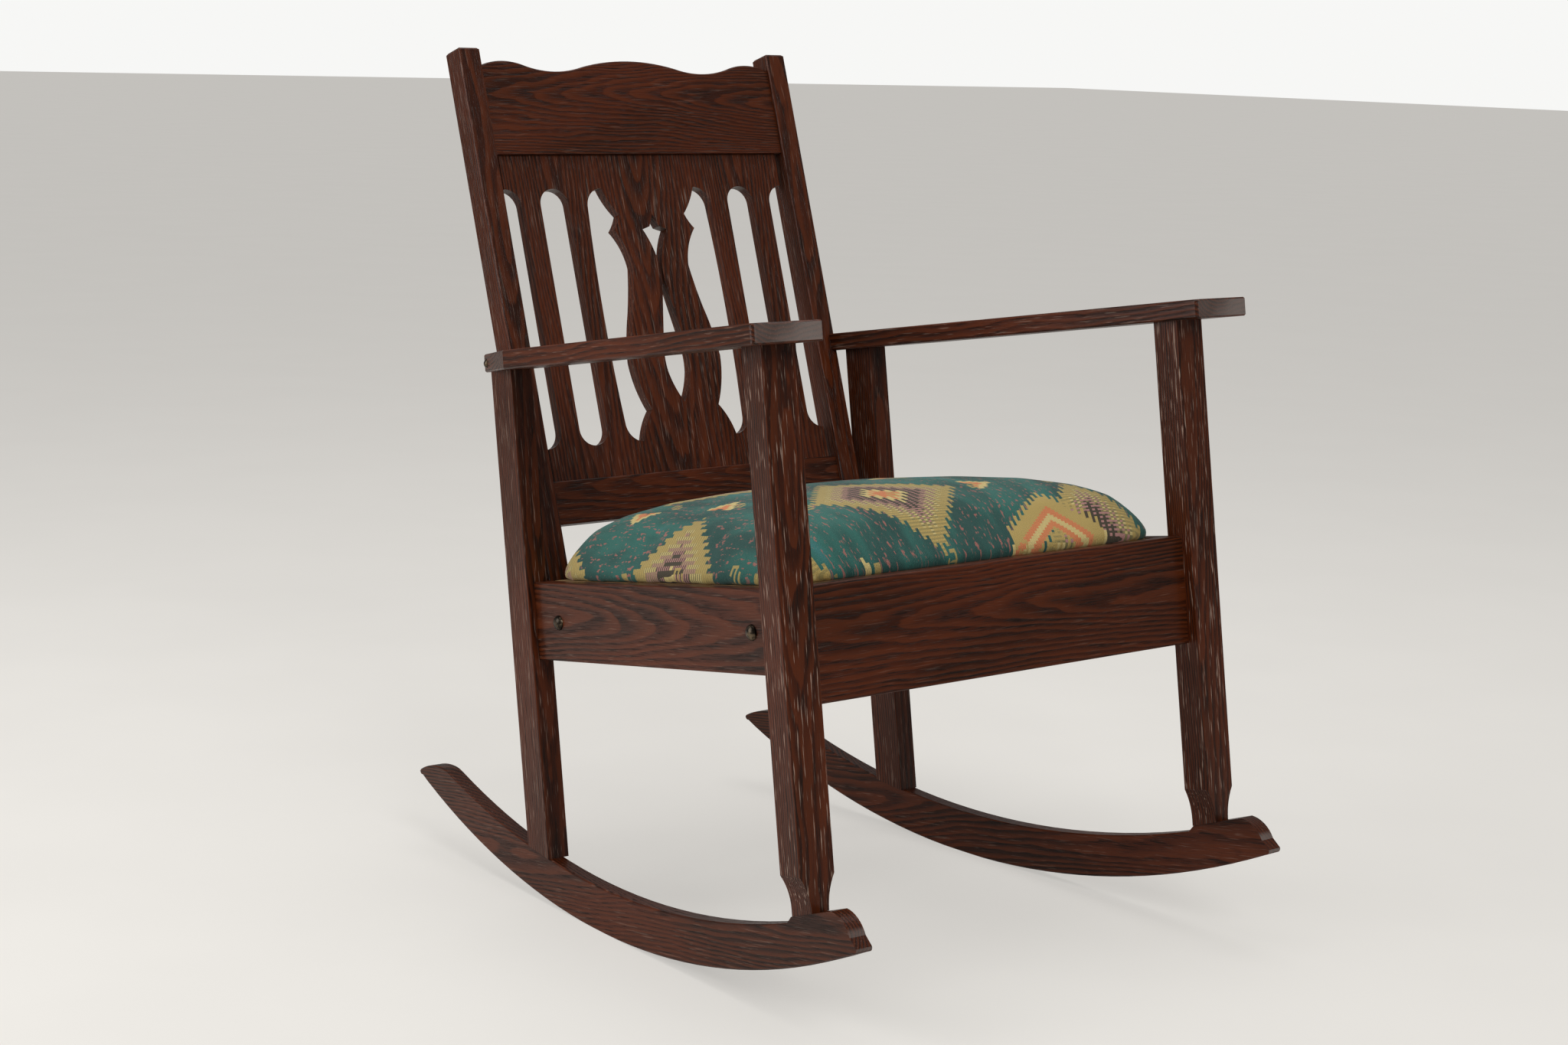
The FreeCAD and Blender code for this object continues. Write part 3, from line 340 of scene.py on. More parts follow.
def oak_grain() -> bpy.types.NodeTree:
    """Builds the group that draws oak's rings and open pores in solid wood, and the pale streaks of a painted
    highlight where the pores catch the light.

    Its vector has the grain along Z and the wide face's normal along X, in metres.

    Returns:
        The node group.
    """
    wiring, entry, leave = new_group(
        "oak_grain",
        {"Vector": "Vector", "Pith": "Vector", "Ring": "Float", "Tilt": "Float"},
        {"Rings": "Float", "Pores": "Float", "Cloud": "Float", "PoreGlint": "Float"},
    )
    vector = entry.outputs["Vector"]
    shifted = wiring.add("ShaderNodeVectorMath", operation="ADD")
    wiring.feed(shifted.inputs[0], vector)
    wiring.feed(shifted.inputs[1], entry.outputs["Pith"])
    x, y, z = wiring.split(shifted.outputs[0])
    drift = wiring.noise(wiring.stretched(shifted.outputs[0], (1.0, 1.0, 0.16)), 16.0, 2.0, 0.45)
    ripple = wiring.noise(wiring.stretched(shifted.outputs[0], (1.0, 1.0, 0.22)), 75.0, 2.0, 0.5)
    leaning = wiring.math("MULTIPLY_ADD", z, entry.outputs["Tilt"], x)
    squares = wiring.math("ADD", wiring.math("POWER", leaning, 2.0), wiring.math("POWER", y, 2.0))
    reach = wiring.math("SQRT", squares)
    reach = wiring.math("MULTIPLY_ADD", drift, 0.030, reach)
    reach = wiring.math("MULTIPLY_ADD", ripple, 0.0042, reach)
    phase = wiring.math("FRACT", wiring.math("DIVIDE", reach, entry.outputs["Ring"]))
    rise = wiring.spread(phase, 0.18, 0.80)
    fall = wiring.spread(phase, 0.90, 1.0)
    rings = wiring.math("SUBTRACT", rise, fall)
    early = wiring.spread(phase, 0.25, 0.55, 1.0, 0.25)
    fine = wiring.noise(wiring.stretched(shifted.outputs[0], (1.0, 1.0, 0.030)), 1150.0, 1.0, 0.4)
    coarse = wiring.noise(wiring.stretched(shifted.outputs[0], (1.0, 1.0, 0.045)), 520.0, 1.0, 0.4)
    pores = wiring.math("MAXIMUM", wiring.both(wiring.spread(fine, 0.55, 0.64), early),
                        wiring.both(wiring.spread(coarse, 0.60, 0.67), early))
    cloud = wiring.noise(wiring.stretched(vector, (1.0, 1.0, 0.35)), 9.0, 3.0, 0.55)
    # Painted highlight: pale streaks along the grain stand in for the open pores catching the light.
    streak = wiring.noise(wiring.stretched(shifted.outputs[0], (1.0, 1.0, 0.050)), 640.0, 2.0, 0.5)
    pore_glint = wiring.spread(streak, 0.60, 0.72)
    for name, value in (("Rings", rings), ("Pores", pores), ("Cloud", cloud), ("PoreGlint", pore_glint)):
        wiring.feed(leave.inputs[name], value)
    return wiring.tree


@dataclass(frozen=True)
class Oak:
    """A finish on oak, from bare boards to dark stain under satin lacquer."""

    name: str
    deep: str
    middle: str
    light: str
    pore: str
    # Colour of the painted highlight where the open pores catch the light.
    pore_glint: str
    # Colour of the painted silvery sheen on end-grain faces, standing in for reflected light.
    end: str
    rough: float
    coat: float
    bump: float

    def dress(self, label: str, box: tuple[Vector, Vector], run: Run, pith: tuple[float, float, float],
              ring: float, tilt: float, shine: float) -> bpy.types.Material:
        """Makes the material of one board, with its grain along the board.

        Args:
            label: The board's name.
            box: The board's lowest and highest corners.
            run: The way its grain runs.
            pith: Where the tree's middle is from the board's own middle, grain along Z.
            ring: Width of one year's ring.
            tilt: How far the grain leans out of the board's length.
            shine: How strongly the open pores catch the light.

        Returns:
            The material.
        """
        material, wiring, shader = new_material(f"{self.name}_{label}")
        place = wiring.add("ShaderNodeTexCoord")
        mapping = wiring.add("ShaderNodeMapping", vector_type="POINT")
        wiring.feed(mapping.inputs["Vector"], place.outputs["Object"])
        turn = run.turn
        mapping.inputs["Rotation"].default_value = turn.to_euler()
        mapping.inputs["Location"].default_value = -(turn @ ((box[0] + box[1]) / 2))
        grain = wiring.add("ShaderNodeGroup", node_tree=bpy.data.node_groups["oak_grain"])
        wiring.feed(grain.inputs["Vector"], mapping.outputs[0])
        wiring.feed(grain.inputs["Pith"], pith)
        wiring.feed(grain.inputs["Ring"], ring)
        wiring.feed(grain.inputs["Tilt"], tilt)
        cloud = wiring.spread(grain.outputs["Cloud"], 0.32, 0.68)
        body = wiring.mix(cloud, tone(self.deep), tone(self.middle))
        ringed = wiring.mix(wiring.math("MULTIPLY", grain.outputs["Rings"], 0.34), body, tone(self.light))
        pored = wiring.mix(wiring.math("MULTIPLY", grain.outputs["Pores"], 0.75), ringed, tone(self.pore))
        # Painted highlight: the pale pore streaks, as strong as the board's shine.
        glinted = wiring.mix(wiring.math("MULTIPLY", grain.outputs["PoreGlint"], shine), pored, tone(self.pore_glint))
        # Painted sheen: faces whose normal runs along the grain, the end grain, get the grey end colour in
        # patches, standing in for reflected light.
        facing = wiring.add("ShaderNodeVectorMath", operation="DOT_PRODUCT")
        wiring.feed(facing.inputs[0], wiring.add("ShaderNodeNewGeometry").outputs["Normal"])
        wiring.feed(facing.inputs[1], turn.row[2])
        cut = wiring.spread(wiring.math("ABSOLUTE", facing.outputs["Value"]), 0.80, 0.92)
        sheen_patches = wiring.spread(grain.outputs["Cloud"], 0.30, 0.70, 0.15, 0.55)
        end_sheen_painted = wiring.mix(wiring.both(cut, sheen_patches), glinted, tone(self.end))
        wiring.feed(shader.inputs["Base Color"], end_sheen_painted)
        rough = wiring.math("MULTIPLY_ADD", grain.outputs["Pores"], 0.20, self.rough)
        wiring.feed(shader.inputs["Roughness"], wiring.math("MULTIPLY_ADD", cloud, 0.08, rough))
        shader.inputs["Coat Weight"].default_value = self.coat
        shader.inputs["Coat Roughness"].default_value = 0.18
        shader.inputs["Specular IOR Level"].default_value = 0.12
        level = wiring.math("SUBTRACT", 1.0, grain.outputs["Pores"])
        level = wiring.math("MULTIPLY_ADD", grain.outputs["Rings"], 0.25, level)
        normal = wiring.relief(level, self.bump, 0.0004)
        wiring.feed(shader.inputs["Normal"], normal)
        wiring.feed(shader.inputs["Coat Normal"], normal)
        return material


# In each finish, the fifth colour is the painted highlight where the pores catch the light and the sixth the
# painted silvery sheen on end grain.
STAINED = Oak("stained_oak", "220c03", "3e1807", "683014", "100501", "b39a8a", "85807c", 0.34, 0.14, 0.60)
BARE = Oak("bare_oak", "a98457", "bd9a6b", "cfae80", "7c5c38", "dcc49b", "b89a6c", 0.62, 0.0, 0.4)


@dataclass(frozen=True)
class Iron:
    """Dark steel of the dome-head bolts, a little rubbed."""

    name: str = "dark_iron"
    dark: str = "2b2621"
    rubbed: str = "6a5c4a"

    def make(self) -> bpy.types.Material:
        """Makes the material."""
        material, wiring, shader = new_material(self.name)
        place = wiring.add("ShaderNodeTexCoord").outputs["Object"]
        cloud = wiring.noise(place, 160.0, 4.0, 0.6)
        rubbing = wiring.spread(cloud, 0.42, 0.68)
        wiring.feed(shader.inputs["Base Color"], wiring.mix(rubbing, tone(self.dark), tone(self.rubbed)))
        wiring.feed(shader.inputs["Roughness"], wiring.spread(cloud, 0.3, 0.7, 0.24, 0.40))
        shader.inputs["Metallic"].default_value = 1.0
        wiring.feed(shader.inputs["Normal"], wiring.relief(wiring.noise(place, 900.0, 3.0), 0.12, 0.0002))
        return material


@dataclass(frozen=True)
class PlainWeave:
    """A plain woven cloth, such as webbing or a dust cover."""

    name: str
    dark: str
    light: str
    pitch: float

    def make(self) -> bpy.types.Material:
        """Makes the material."""
        material, wiring, shader = new_material(self.name)
        place = wiring.add("ShaderNodeTexCoord").outputs["Object"]
        x, y, _ = wiring.split(place)
        turns = 2 * math.pi / self.pitch
        across = wiring.math("SINE", wiring.math("MULTIPLY", x, turns))
        along = wiring.math("SINE", wiring.math("MULTIPLY", y, turns))
        weave = wiring.math("MULTIPLY_ADD", wiring.both(across, along), 0.5, 0.5)
        cloud = wiring.noise(place, 60.0, 4.0)
        share = wiring.math("MULTIPLY", wiring.math("ADD", weave, cloud), 0.5)
        wiring.feed(shader.inputs["Base Color"], wiring.mix(share, tone(self.dark), tone(self.light)))
        shader.inputs["Roughness"].default_value = 0.9
        wiring.feed(shader.inputs["Normal"], wiring.relief(weave, 0.5, 0.0005))
        return material


@dataclass(frozen=True)
class Tapestry:
    """Woven seat cover: stepped lozenges, stars and small keys on a teal chenille ground."""

    name: str = "tapestry"
    teal: str = "1f655b"
    teal_deep: str = "104640"
    blue: str = "3b7f86"
    pink: str = "a8645a"
    gold: str = "b59c58"
    pale: str = "cdb878"
    olive: str = "7f7648"
    brown: str = "3f3524"
    salmon: str = "cf7d4c"
    rose: str = "b07f78"
    column: float = 4.4
    tile_wide: float = 252.0
    tile_long: float = 262.0
    lozenge_left: float = 70.0
    lozenge_near: float = 150.0
    tooth: float = 9.0
    zigzag_left: float = 42.0
    zigzag_right: float = 192.0

    def make(self) -> bpy.types.Material:
        """Makes the material, which reads the piece's own flat cloth layout."""
        material, wiring, shader = new_material(self.name)
        flat = wiring.add("ShaderNodeUVMap", uv_map="cloth").outputs[0]
        u, v, _ = wiring.split(wiring.stretched(flat, (1000.0, 1000.0, 0.0)))
        count = wiring.math("FLOOR", wiring.math("DIVIDE", u, self.column))
        stepped = wiring.math("MULTIPLY", count, self.column)
        tooth = wiring.math("MULTIPLY", wiring.math("FLOORED_MODULO", count, 2.0), self.tooth)
        colour = self._ground(wiring, u, v)
        colour = self._lozenges(wiring, colour, u, v, stepped, tooth)
        colour = self._zigzag(wiring, colour, v, stepped, tooth)
        colour = self._keys(wiring, colour, u, v)
        grainy = wiring.noise(flat, 1400.0, 2.0, 0.6)
        shade = wiring.spread(grainy, 0.35, 0.65, 0.42, 0.0)
        dusk = wiring.mix(shade, colour, (0.012, 0.016, 0.014, 1.0))
        lift = wiring.mix(wiring.spread(grainy, 0.58, 0.80, 0.0, 0.18), dusk, (0.62, 0.60, 0.46, 1.0))
        wiring.feed(shader.inputs["Base Color"], lift)
        shader.inputs["Roughness"].default_value = 0.92
        shader.inputs["Sheen Weight"].default_value = 0.05
        shader.inputs["Sheen Roughness"].default_value = 0.55
        rows = wiring.math("SINE", wiring.math("MULTIPLY", v, 2 * math.pi / 1.9))
        warp = wiring.math("SINE", wiring.math("MULTIPLY", u, 2 * math.pi / 2.2))
        fuzz = wiring.math("MULTIPLY", grainy, 1.2)
        weave = wiring.math("MULTIPLY_ADD", wiring.both(rows, warp), 0.25, fuzz)
        wiring.feed(shader.inputs["Normal"], wiring.relief(weave, 0.55, 0.0008))
        return material

    def _ground(self, wiring: Wiring, u: object, v: object) -> bpy.types.NodeSocket:
        """Colours the teal ground, with its blue patches and broken pink threads.

        Args:
            wiring: The material's wiring.
            u: Distance across the cloth, in millimetres.
            v: Distance along the cloth, in millimetres.

        Returns:
            The ground's colour.
        """
        flat = wiring.add("ShaderNodeCombineXYZ")
        wiring.feed(flat.inputs[0], wiring.math("MULTIPLY", u, 0.02))
        wiring.feed(flat.inputs[1], wiring.math("MULTIPLY", v, 0.006))
        patch = wiring.noise(flat.outputs[0], 1.0, 3.0, 0.5)
        ground = wiring.mix(wiring.spread(patch, 0.40, 0.62), tone(self.teal_deep), tone(self.teal))
        ground = wiring.mix(wiring.spread(patch, 0.60, 0.75, 0.0, 0.7), ground, tone(self.blue))
        thread = wiring.noise(wiring.stretched(flat.outputs[0], (14.0, 8.0, 1.0)), 1.0, 2.0, 0.6)
        broken = wiring.noise(wiring.stretched(flat.outputs[0], (9.0, 26.0, 1.0)), 1.0, 1.0, 0.5)
        threads = wiring.both(wiring.spread(thread, 0.55, 0.60), wiring.spread(broken, 0.48, 0.56))
        return wiring.mix(wiring.math("MULTIPLY", threads, 0.8), ground, tone(self.pink))

    def _lozenges(self, wiring: Wiring, colour: object, u: object, v: object, stepped: object,
                  tooth: object) -> bpy.types.NodeSocket:
        """Lays the large combed lozenges and the small stars between them over the ground.

        Args:
            wiring: The material's wiring.
            colour: The colour so far.
            u: Distance across the cloth, in millimetres.
            v: Distance along the cloth, in millimetres.
            stepped: Distance across in whole columns of thread.
            tooth: How far each column reaches past its neighbour.

        Returns:
            The new colour.
        """
        wide, long = self.tile_wide, self.tile_long
        left, near = self.lozenge_left, self.lozenge_near
        tile = wiring.math("FLOOR", wiring.math("DIVIDE", wiring.math("ADD", stepped, wide / 2 + left), wide))
        dropped = wiring.math("MULTIPLY_ADD", wiring.math("FLOORED_MODULO", tile, 2.0), long / 2, v)
        across = wiring.math("ABSOLUTE", wiring.folded(stepped, wide, left))
        along = wiring.math("ADD", wiring.math("ABSOLUTE", wiring.folded(dropped, long, near)), tooth)
        size = wiring.math("ADD", wiring.math("DIVIDE", across, 104.0), wiring.math("DIVIDE", along, 116.0))
        hatch = wiring.below(wiring.math("FLOORED_MODULO", v, 4.2), 2.1)
        stripe = wiring.below(wiring.math("FLOORED_MODULO", u, 8.8), 4.4)
        rim = wiring.mix(wiring.math("MULTIPLY", hatch, 0.55), tone(self.gold), tone(self.olive))
        belt = wiring.mix(stripe, wiring.mix(hatch, tone(self.olive), tone(self.rose)),
                          wiring.mix(hatch, tone(self.pale), tone(self.olive)))
        field_tone = wiring.mix(wiring.both(stripe, hatch), tone(self.brown), tone(self.rose))
        star = wiring.mix(wiring.below(size, 0.22), tone(self.pale), tone(self.salmon))
        inside = wiring.mix(wiring.below(size, 0.80), rim, belt)
        inside = wiring.mix(wiring.below(size, 0.58), inside, field_tone)
        inside = wiring.mix(wiring.below(size, 0.33), inside, star)
        colour = wiring.mix(wiring.below(size, 1.0), colour, inside)
        rung = wiring.math("MULTIPLY", wiring.math("FLOOR", wiring.math("DIVIDE", dropped, 5.5)), 5.5)
        side = wiring.math("ABSOLUTE", wiring.folded(stepped, wide, left + wide / 2))
        end = wiring.math("ABSOLUTE", wiring.folded(rung, long, near + long / 2))
        small = wiring.math("ADD", wiring.math("DIVIDE", side, 34.0), wiring.math("DIVIDE", end, 25.0))
        point = wiring.mix(wiring.below(small, 0.62), tone(self.pale), tone(self.salmon))
        point = wiring.mix(wiring.below(small, 0.22), point, tone(self.teal_deep))
        return wiring.mix(wiring.below(small, 1.0), colour, point)

    def _zigzag(self, wiring: Wiring, colour: object, v: object, stepped: object,
                tooth: object) -> bpy.types.NodeSocket:
        """Lays the combed zigzag band along the front of the seat.

        Args:
            wiring: The material's wiring.
            colour: The colour so far.
            v: Distance along the cloth, in millimetres.
            stepped: Distance across in whole columns of thread.
            tooth: How far each column reaches past its neighbour.

        Returns:
            The new colour.
        """
        peak = wiring.math("ABSOLUTE", wiring.folded(stepped, 148.0, -115.0))
        line = wiring.math("MULTIPLY_ADD", peak, 0.62, v)
        away = wiring.math("ADD", wiring.math("ABSOLUTE", wiring.math("ADD", line, 228.0)), tooth)
        band = wiring.below(away, 30.0)
        core = wiring.math("ABSOLUTE", wiring.math("ADD", line, 236.0))
        tint = wiring.mix(wiring.below(core, 12.0), tone(self.gold), tone(self.salmon))
        tint = wiring.mix(wiring.below(core, 4.0), tint, tone(self.pale))
        local = wiring.both(wiring.above(stepped, self.zigzag_left), wiring.below(stepped, self.zigzag_right))
        return wiring.mix(wiring.both(band, local), colour, tint)

    def _keys(self, wiring: Wiring, colour: object, u: object, v: object) -> bpy.types.NodeSocket:
        """Lays small square keys over the cloth.

        Args:
            wiring: The material's wiring.
            colour: The colour so far.
            u: Distance across the cloth, in millimetres.
            v: Distance along the cloth, in millimetres.

        Returns:
            The new colour.
        """
        across = wiring.folded(u, 118.0, 60.0)
        along = wiring.folded(v, 116.0, 38.0)
        reach = wiring.math("MAXIMUM", wiring.math("ABSOLUTE", across),
                            wiring.math("MULTIPLY", wiring.math("ABSOLUTE", along), 0.75))
        ring = wiring.both(wiring.below(reach, 7.5), wiring.above(reach, 4.6))
        bar = wiring.both(wiring.below(wiring.math("ABSOLUTE", along), 1.6),
                          wiring.below(wiring.math("ABSOLUTE", across), 7.5))
        gate = wiring.above(wiring.math("MULTIPLY", across, along), -14.0)
        key = wiring.both(wiring.math("MAXIMUM", ring, bar), gate)
        return wiring.mix(wiring.math("MULTIPLY", key, 0.85), colour, tone(self.gold))


def clear_selection() -> None:
    """Leaves edit mode and deselects everything."""
    if bpy.context.object and bpy.context.object.mode != "OBJECT":
        bpy.ops.object.mode_set(mode="OBJECT")
    bpy.ops.object.select_all(action="DESELECT")


def only(piece: bpy.types.Object) -> None:
    """Selects one object and makes it active."""
    clear_selection()
    piece.select_set(True)
    bpy.context.view_layer.objects.active = piece


def settle(piece: bpy.types.Object) -> None:
    """Puts an object's place into its mesh."""
    only(piece)
    bpy.ops.object.transform_apply(location=True, rotation=True, scale=True)


def use(piece: bpy.types.Object, material: bpy.types.Material) -> None:
    """Gives a piece one material."""
    piece.data.materials.clear()
    piece.data.materials.append(material)


@dataclass
class Woodwork:
    """The oak boards of the chair, as the solids give them, each with grain along its length."""

    nodes: dict[str, bpy.types.Object]
    stained: Oak = STAINED
    bare: Oak = BARE

    def boards(self) -> dict[str, tuple[Oak, Run, float, float, float]]:
        """Lists each board's finish, grain, ring width, tilt and how far its pores shine."""
        rows: dict[str, tuple[Oak, Run, float, float, float]] = {
            "front_apron": (self.stained, Run.ACROSS, 0.0042, 0.020, 0.06),
            "rear_seat_rail": (self.stained, Run.ACROSS, 0.0042, 0.020, 0.06),
            "crest_rail": (self.stained, Run.BACK_ACROSS, 0.0026, 0.030, 0.06),
            "lower_back_rail": (self.stained, Run.BACK_ACROSS, 0.0034, 0.030, 0.12),
            "splat_middle": (self.stained, Run.BACK_UPRIGHT, 0.0044, 0.060, 0.22),
        }
        for name in ("seat_cleat_front", "seat_frame_front", "seat_frame_rear"):
            rows[name] = (self.bare, Run.ACROSS, 0.0045, 0.04, 0.2)
        for side, backward, arm in (("left", Run.BACKWARD_LEFT, Run.ARM_LEFT),
                                    ("right", Run.BACKWARD_RIGHT, Run.ARM_RIGHT)):
            rows[f"front_leg_{side}"] = (self.stained, Run.UPRIGHT, 0.0034, 0.010, 0.55)
            rows[f"rear_leg_{side}"] = (self.stained, Run.UPRIGHT, 0.0036, 0.010, 0.25)
            rows[f"back_post_{side}"] = (self.stained, Run.BACK_UPRIGHT, 0.0034, 0.010, 0.14)
            rows[f"splat_{side}"] = (self.stained, Run.BACK_UPRIGHT, 0.0040, 0.040, 0.14)
            rows[f"side_rail_{side}"] = (self.stained, backward, 0.0060, 0.055, 0.10)
            rows[f"rocker_{side}"] = (self.stained, backward, 0.0042, 0.030, 0.10)
            rows[f"arm_{side}"] = (self.stained, arm, 0.0046, 0.030, 0.16)
            for part in ("seat_cleat", "seat_frame"):
                rows[f"{part}_{side}"] = (self.bare, backward, 0.0045, 0.04, 0.2)
            for end in ("front", "rear"):
                for part in ("foot_dowel", "arm_dowel"):
                    rows[f"{part}_{side}_{end}"] = (self.bare, Run.UPRIGHT, 0.0030, 0.02, 0.2)
        return rows

    def dress(self) -> None:
        """Gives every board its own material."""
        oak_grain()
        for number, (name, (finish, run, ring, tilt, shine)) in enumerate(self.boards().items()):
            stray = math.sin(number * 12.9898) * 0.5
            pith = (-0.055 - 0.02 * stray, 0.004 + 0.02 * stray, 0.0)
            material = finish.dress(name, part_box(name), run, pith, ring, tilt, shine)
            use(self.nodes[name], material)
            log.info("board %s: grain %s", name, run.name)


@dataclass
class Fixings:
    """The iron of the chair; the domed bolt heads are turned smooth here."""

    nodes: dict[str, bpy.types.Object]
    finish: Iron = field(default_factory=Iron)
    depth_front: float = 0.077
    depth_back: float = 0.455
    level: float = 0.3575
    rail_face: float = 0.0176
    rail_head: float = 0.017
    rail_dome: float = 0.0056
    rail_shank: float = 0.008
    rail_length: float = 0.0511
    arm_head: float = 0.0103
    arm_dome: float = 0.0036
    arm_shank: float = 0.005
    arm_length: float = 0.042
    arm_taper: float = math.radians(12.0)

    def side_point(self, hand: int, inset: float, depth: float, height: float) -> tuple[Vector, Vector]:
        """Finds a point on a side frame, and the way out of its face.

        Args:
            hand: -1 for the left side and 1 for the right.
            inset: Distance in from the outer face.
            depth: Distance back along the frame.
            height: Height in the upright chair.

        Returns:
            The point at rest, and the outward direction.
        """
        out = Vector((hand * math.cos(SPLAY), math.sin(SPLAY), 0.0))
        along = Vector((-hand * math.sin(SPLAY), math.cos(SPLAY), 0.0))
        point = Vector((hand * HALF_WIDTH, 0.0, height)) - out * inset + along * depth
        return stand(point), leaned(out)

    def dome_bolt(self, name: str, seat: Vector, out: Vector, head: float, dome: float, wide: float,
                  length: float) -> bpy.types.Object:
        """Turns a dome-head bolt: a sphere cut to its cap, with a rounded rim, on a straight shank.

        Args:
            name: The bolt's name.
            seat: Where its head meets the wood.
            out: The way it points outwards.
            head: Width of the head.
            dome: Height of the head.
            wide: Width of the shank.
            length: Length of the shank.

        Returns:
            The bolt.
        """
        clear_selection()
        bpy.ops.mesh.primitive_uv_sphere_add(segments=48, ring_count=24, radius=head / 2)
        piece = bpy.context.object
        piece.name = name
        bpy.ops.object.mode_set(mode="EDIT")
        bpy.ops.mesh.select_all(action="SELECT")
        bpy.ops.mesh.bisect(plane_co=(0, 0, 0), plane_no=(0, 0, 1), use_fill=True, clear_inner=True)
        bpy.ops.object.mode_set(mode="OBJECT")
        for vertex in piece.data.vertices:
            flat = Vector((vertex.co.x, vertex.co.y)).length / (head / 2)
            vertex.co.z = dome * max(0.0, 1 - flat ** 2.3) ** 0.62
        bpy.ops.mesh.primitive_cylinder_add(vertices=32, radius=wide / 2, depth=length,
                                            location=(0, 0, -length / 2))
        shank = bpy.context.object
        only(piece)
        shank.select_set(True)
        bpy.ops.object.join()
        piece.matrix_world = Matrix.Translation(seat) @ out.to_track_quat("Z", "Y").to_matrix().to_4x4()
        settle(piece)
        bpy.ops.object.shade_smooth_by_angle(angle=math.radians(40))
        return piece

    def build(self) -> None:
        """Makes the six bolts and gives the other iron its finish."""
        iron = self.finish.make()
        for side, hand in (("left", -1), ("right", 1)):
            for end, depth in (("front", self.depth_front), ("back", self.depth_back)):
                seat, out = self.side_point(hand, self.rail_face, depth, self.level)
                bolt = self.dome_bolt(f"dome_bolt_{side}_{end}", seat, out, self.rail_head, self.rail_dome,
                                      self.rail_shank, self.rail_length)
                self.fit(bolt, iron, f"rail_bolt_{side}_{end}")
            bolt = self.arm_bolt(side, hand)
            self.fit(bolt, iron, f"arm_bolt_{side}")
        for name, piece in self.nodes.items():
            if name.startswith(("rail_washer", "rail_nut", "post_screw")):
                use(piece, iron)

    def arm_bolt(self, side: str, hand: int) -> bpy.types.Object:
        """Places the small bolt in the arm's tapered rear edge.

        Args:
            side: The side's name.
            hand: -1 for the left side and 1 for the right.

        Returns:
            The bolt.
        """
        low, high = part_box(f"arm_bolt_{side}")
        plain = Vector((hand * math.cos(self.arm_taper), math.sin(self.arm_taper), 0.0))
        twist = Matrix.Rotation(hand * SPLAY, 3, "Z")
        out = leaned(twist @ plain)
        centre = (low + high) / 2
        seat = centre + out * ((self.arm_length + self.arm_dome) / 2 - self.arm_dome)
        return self.dome_bolt(f"arm_dome_bolt_{side}", seat, out, self.arm_head, self.arm_dome,
                              self.arm_shank, self.arm_length)

    def fit(self, bolt: bpy.types.Object, iron: bpy.types.Material, node: str) -> None:
        """Puts a bolt in its solid's stead.

        Args:
            bolt: The finished bolt.
            iron: Its material.
            node: The solid that it stands for.
        """
        use(bolt, iron)
        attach(bolt, "frame")
        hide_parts(node)
        log.info("bolt %s", bolt.name)


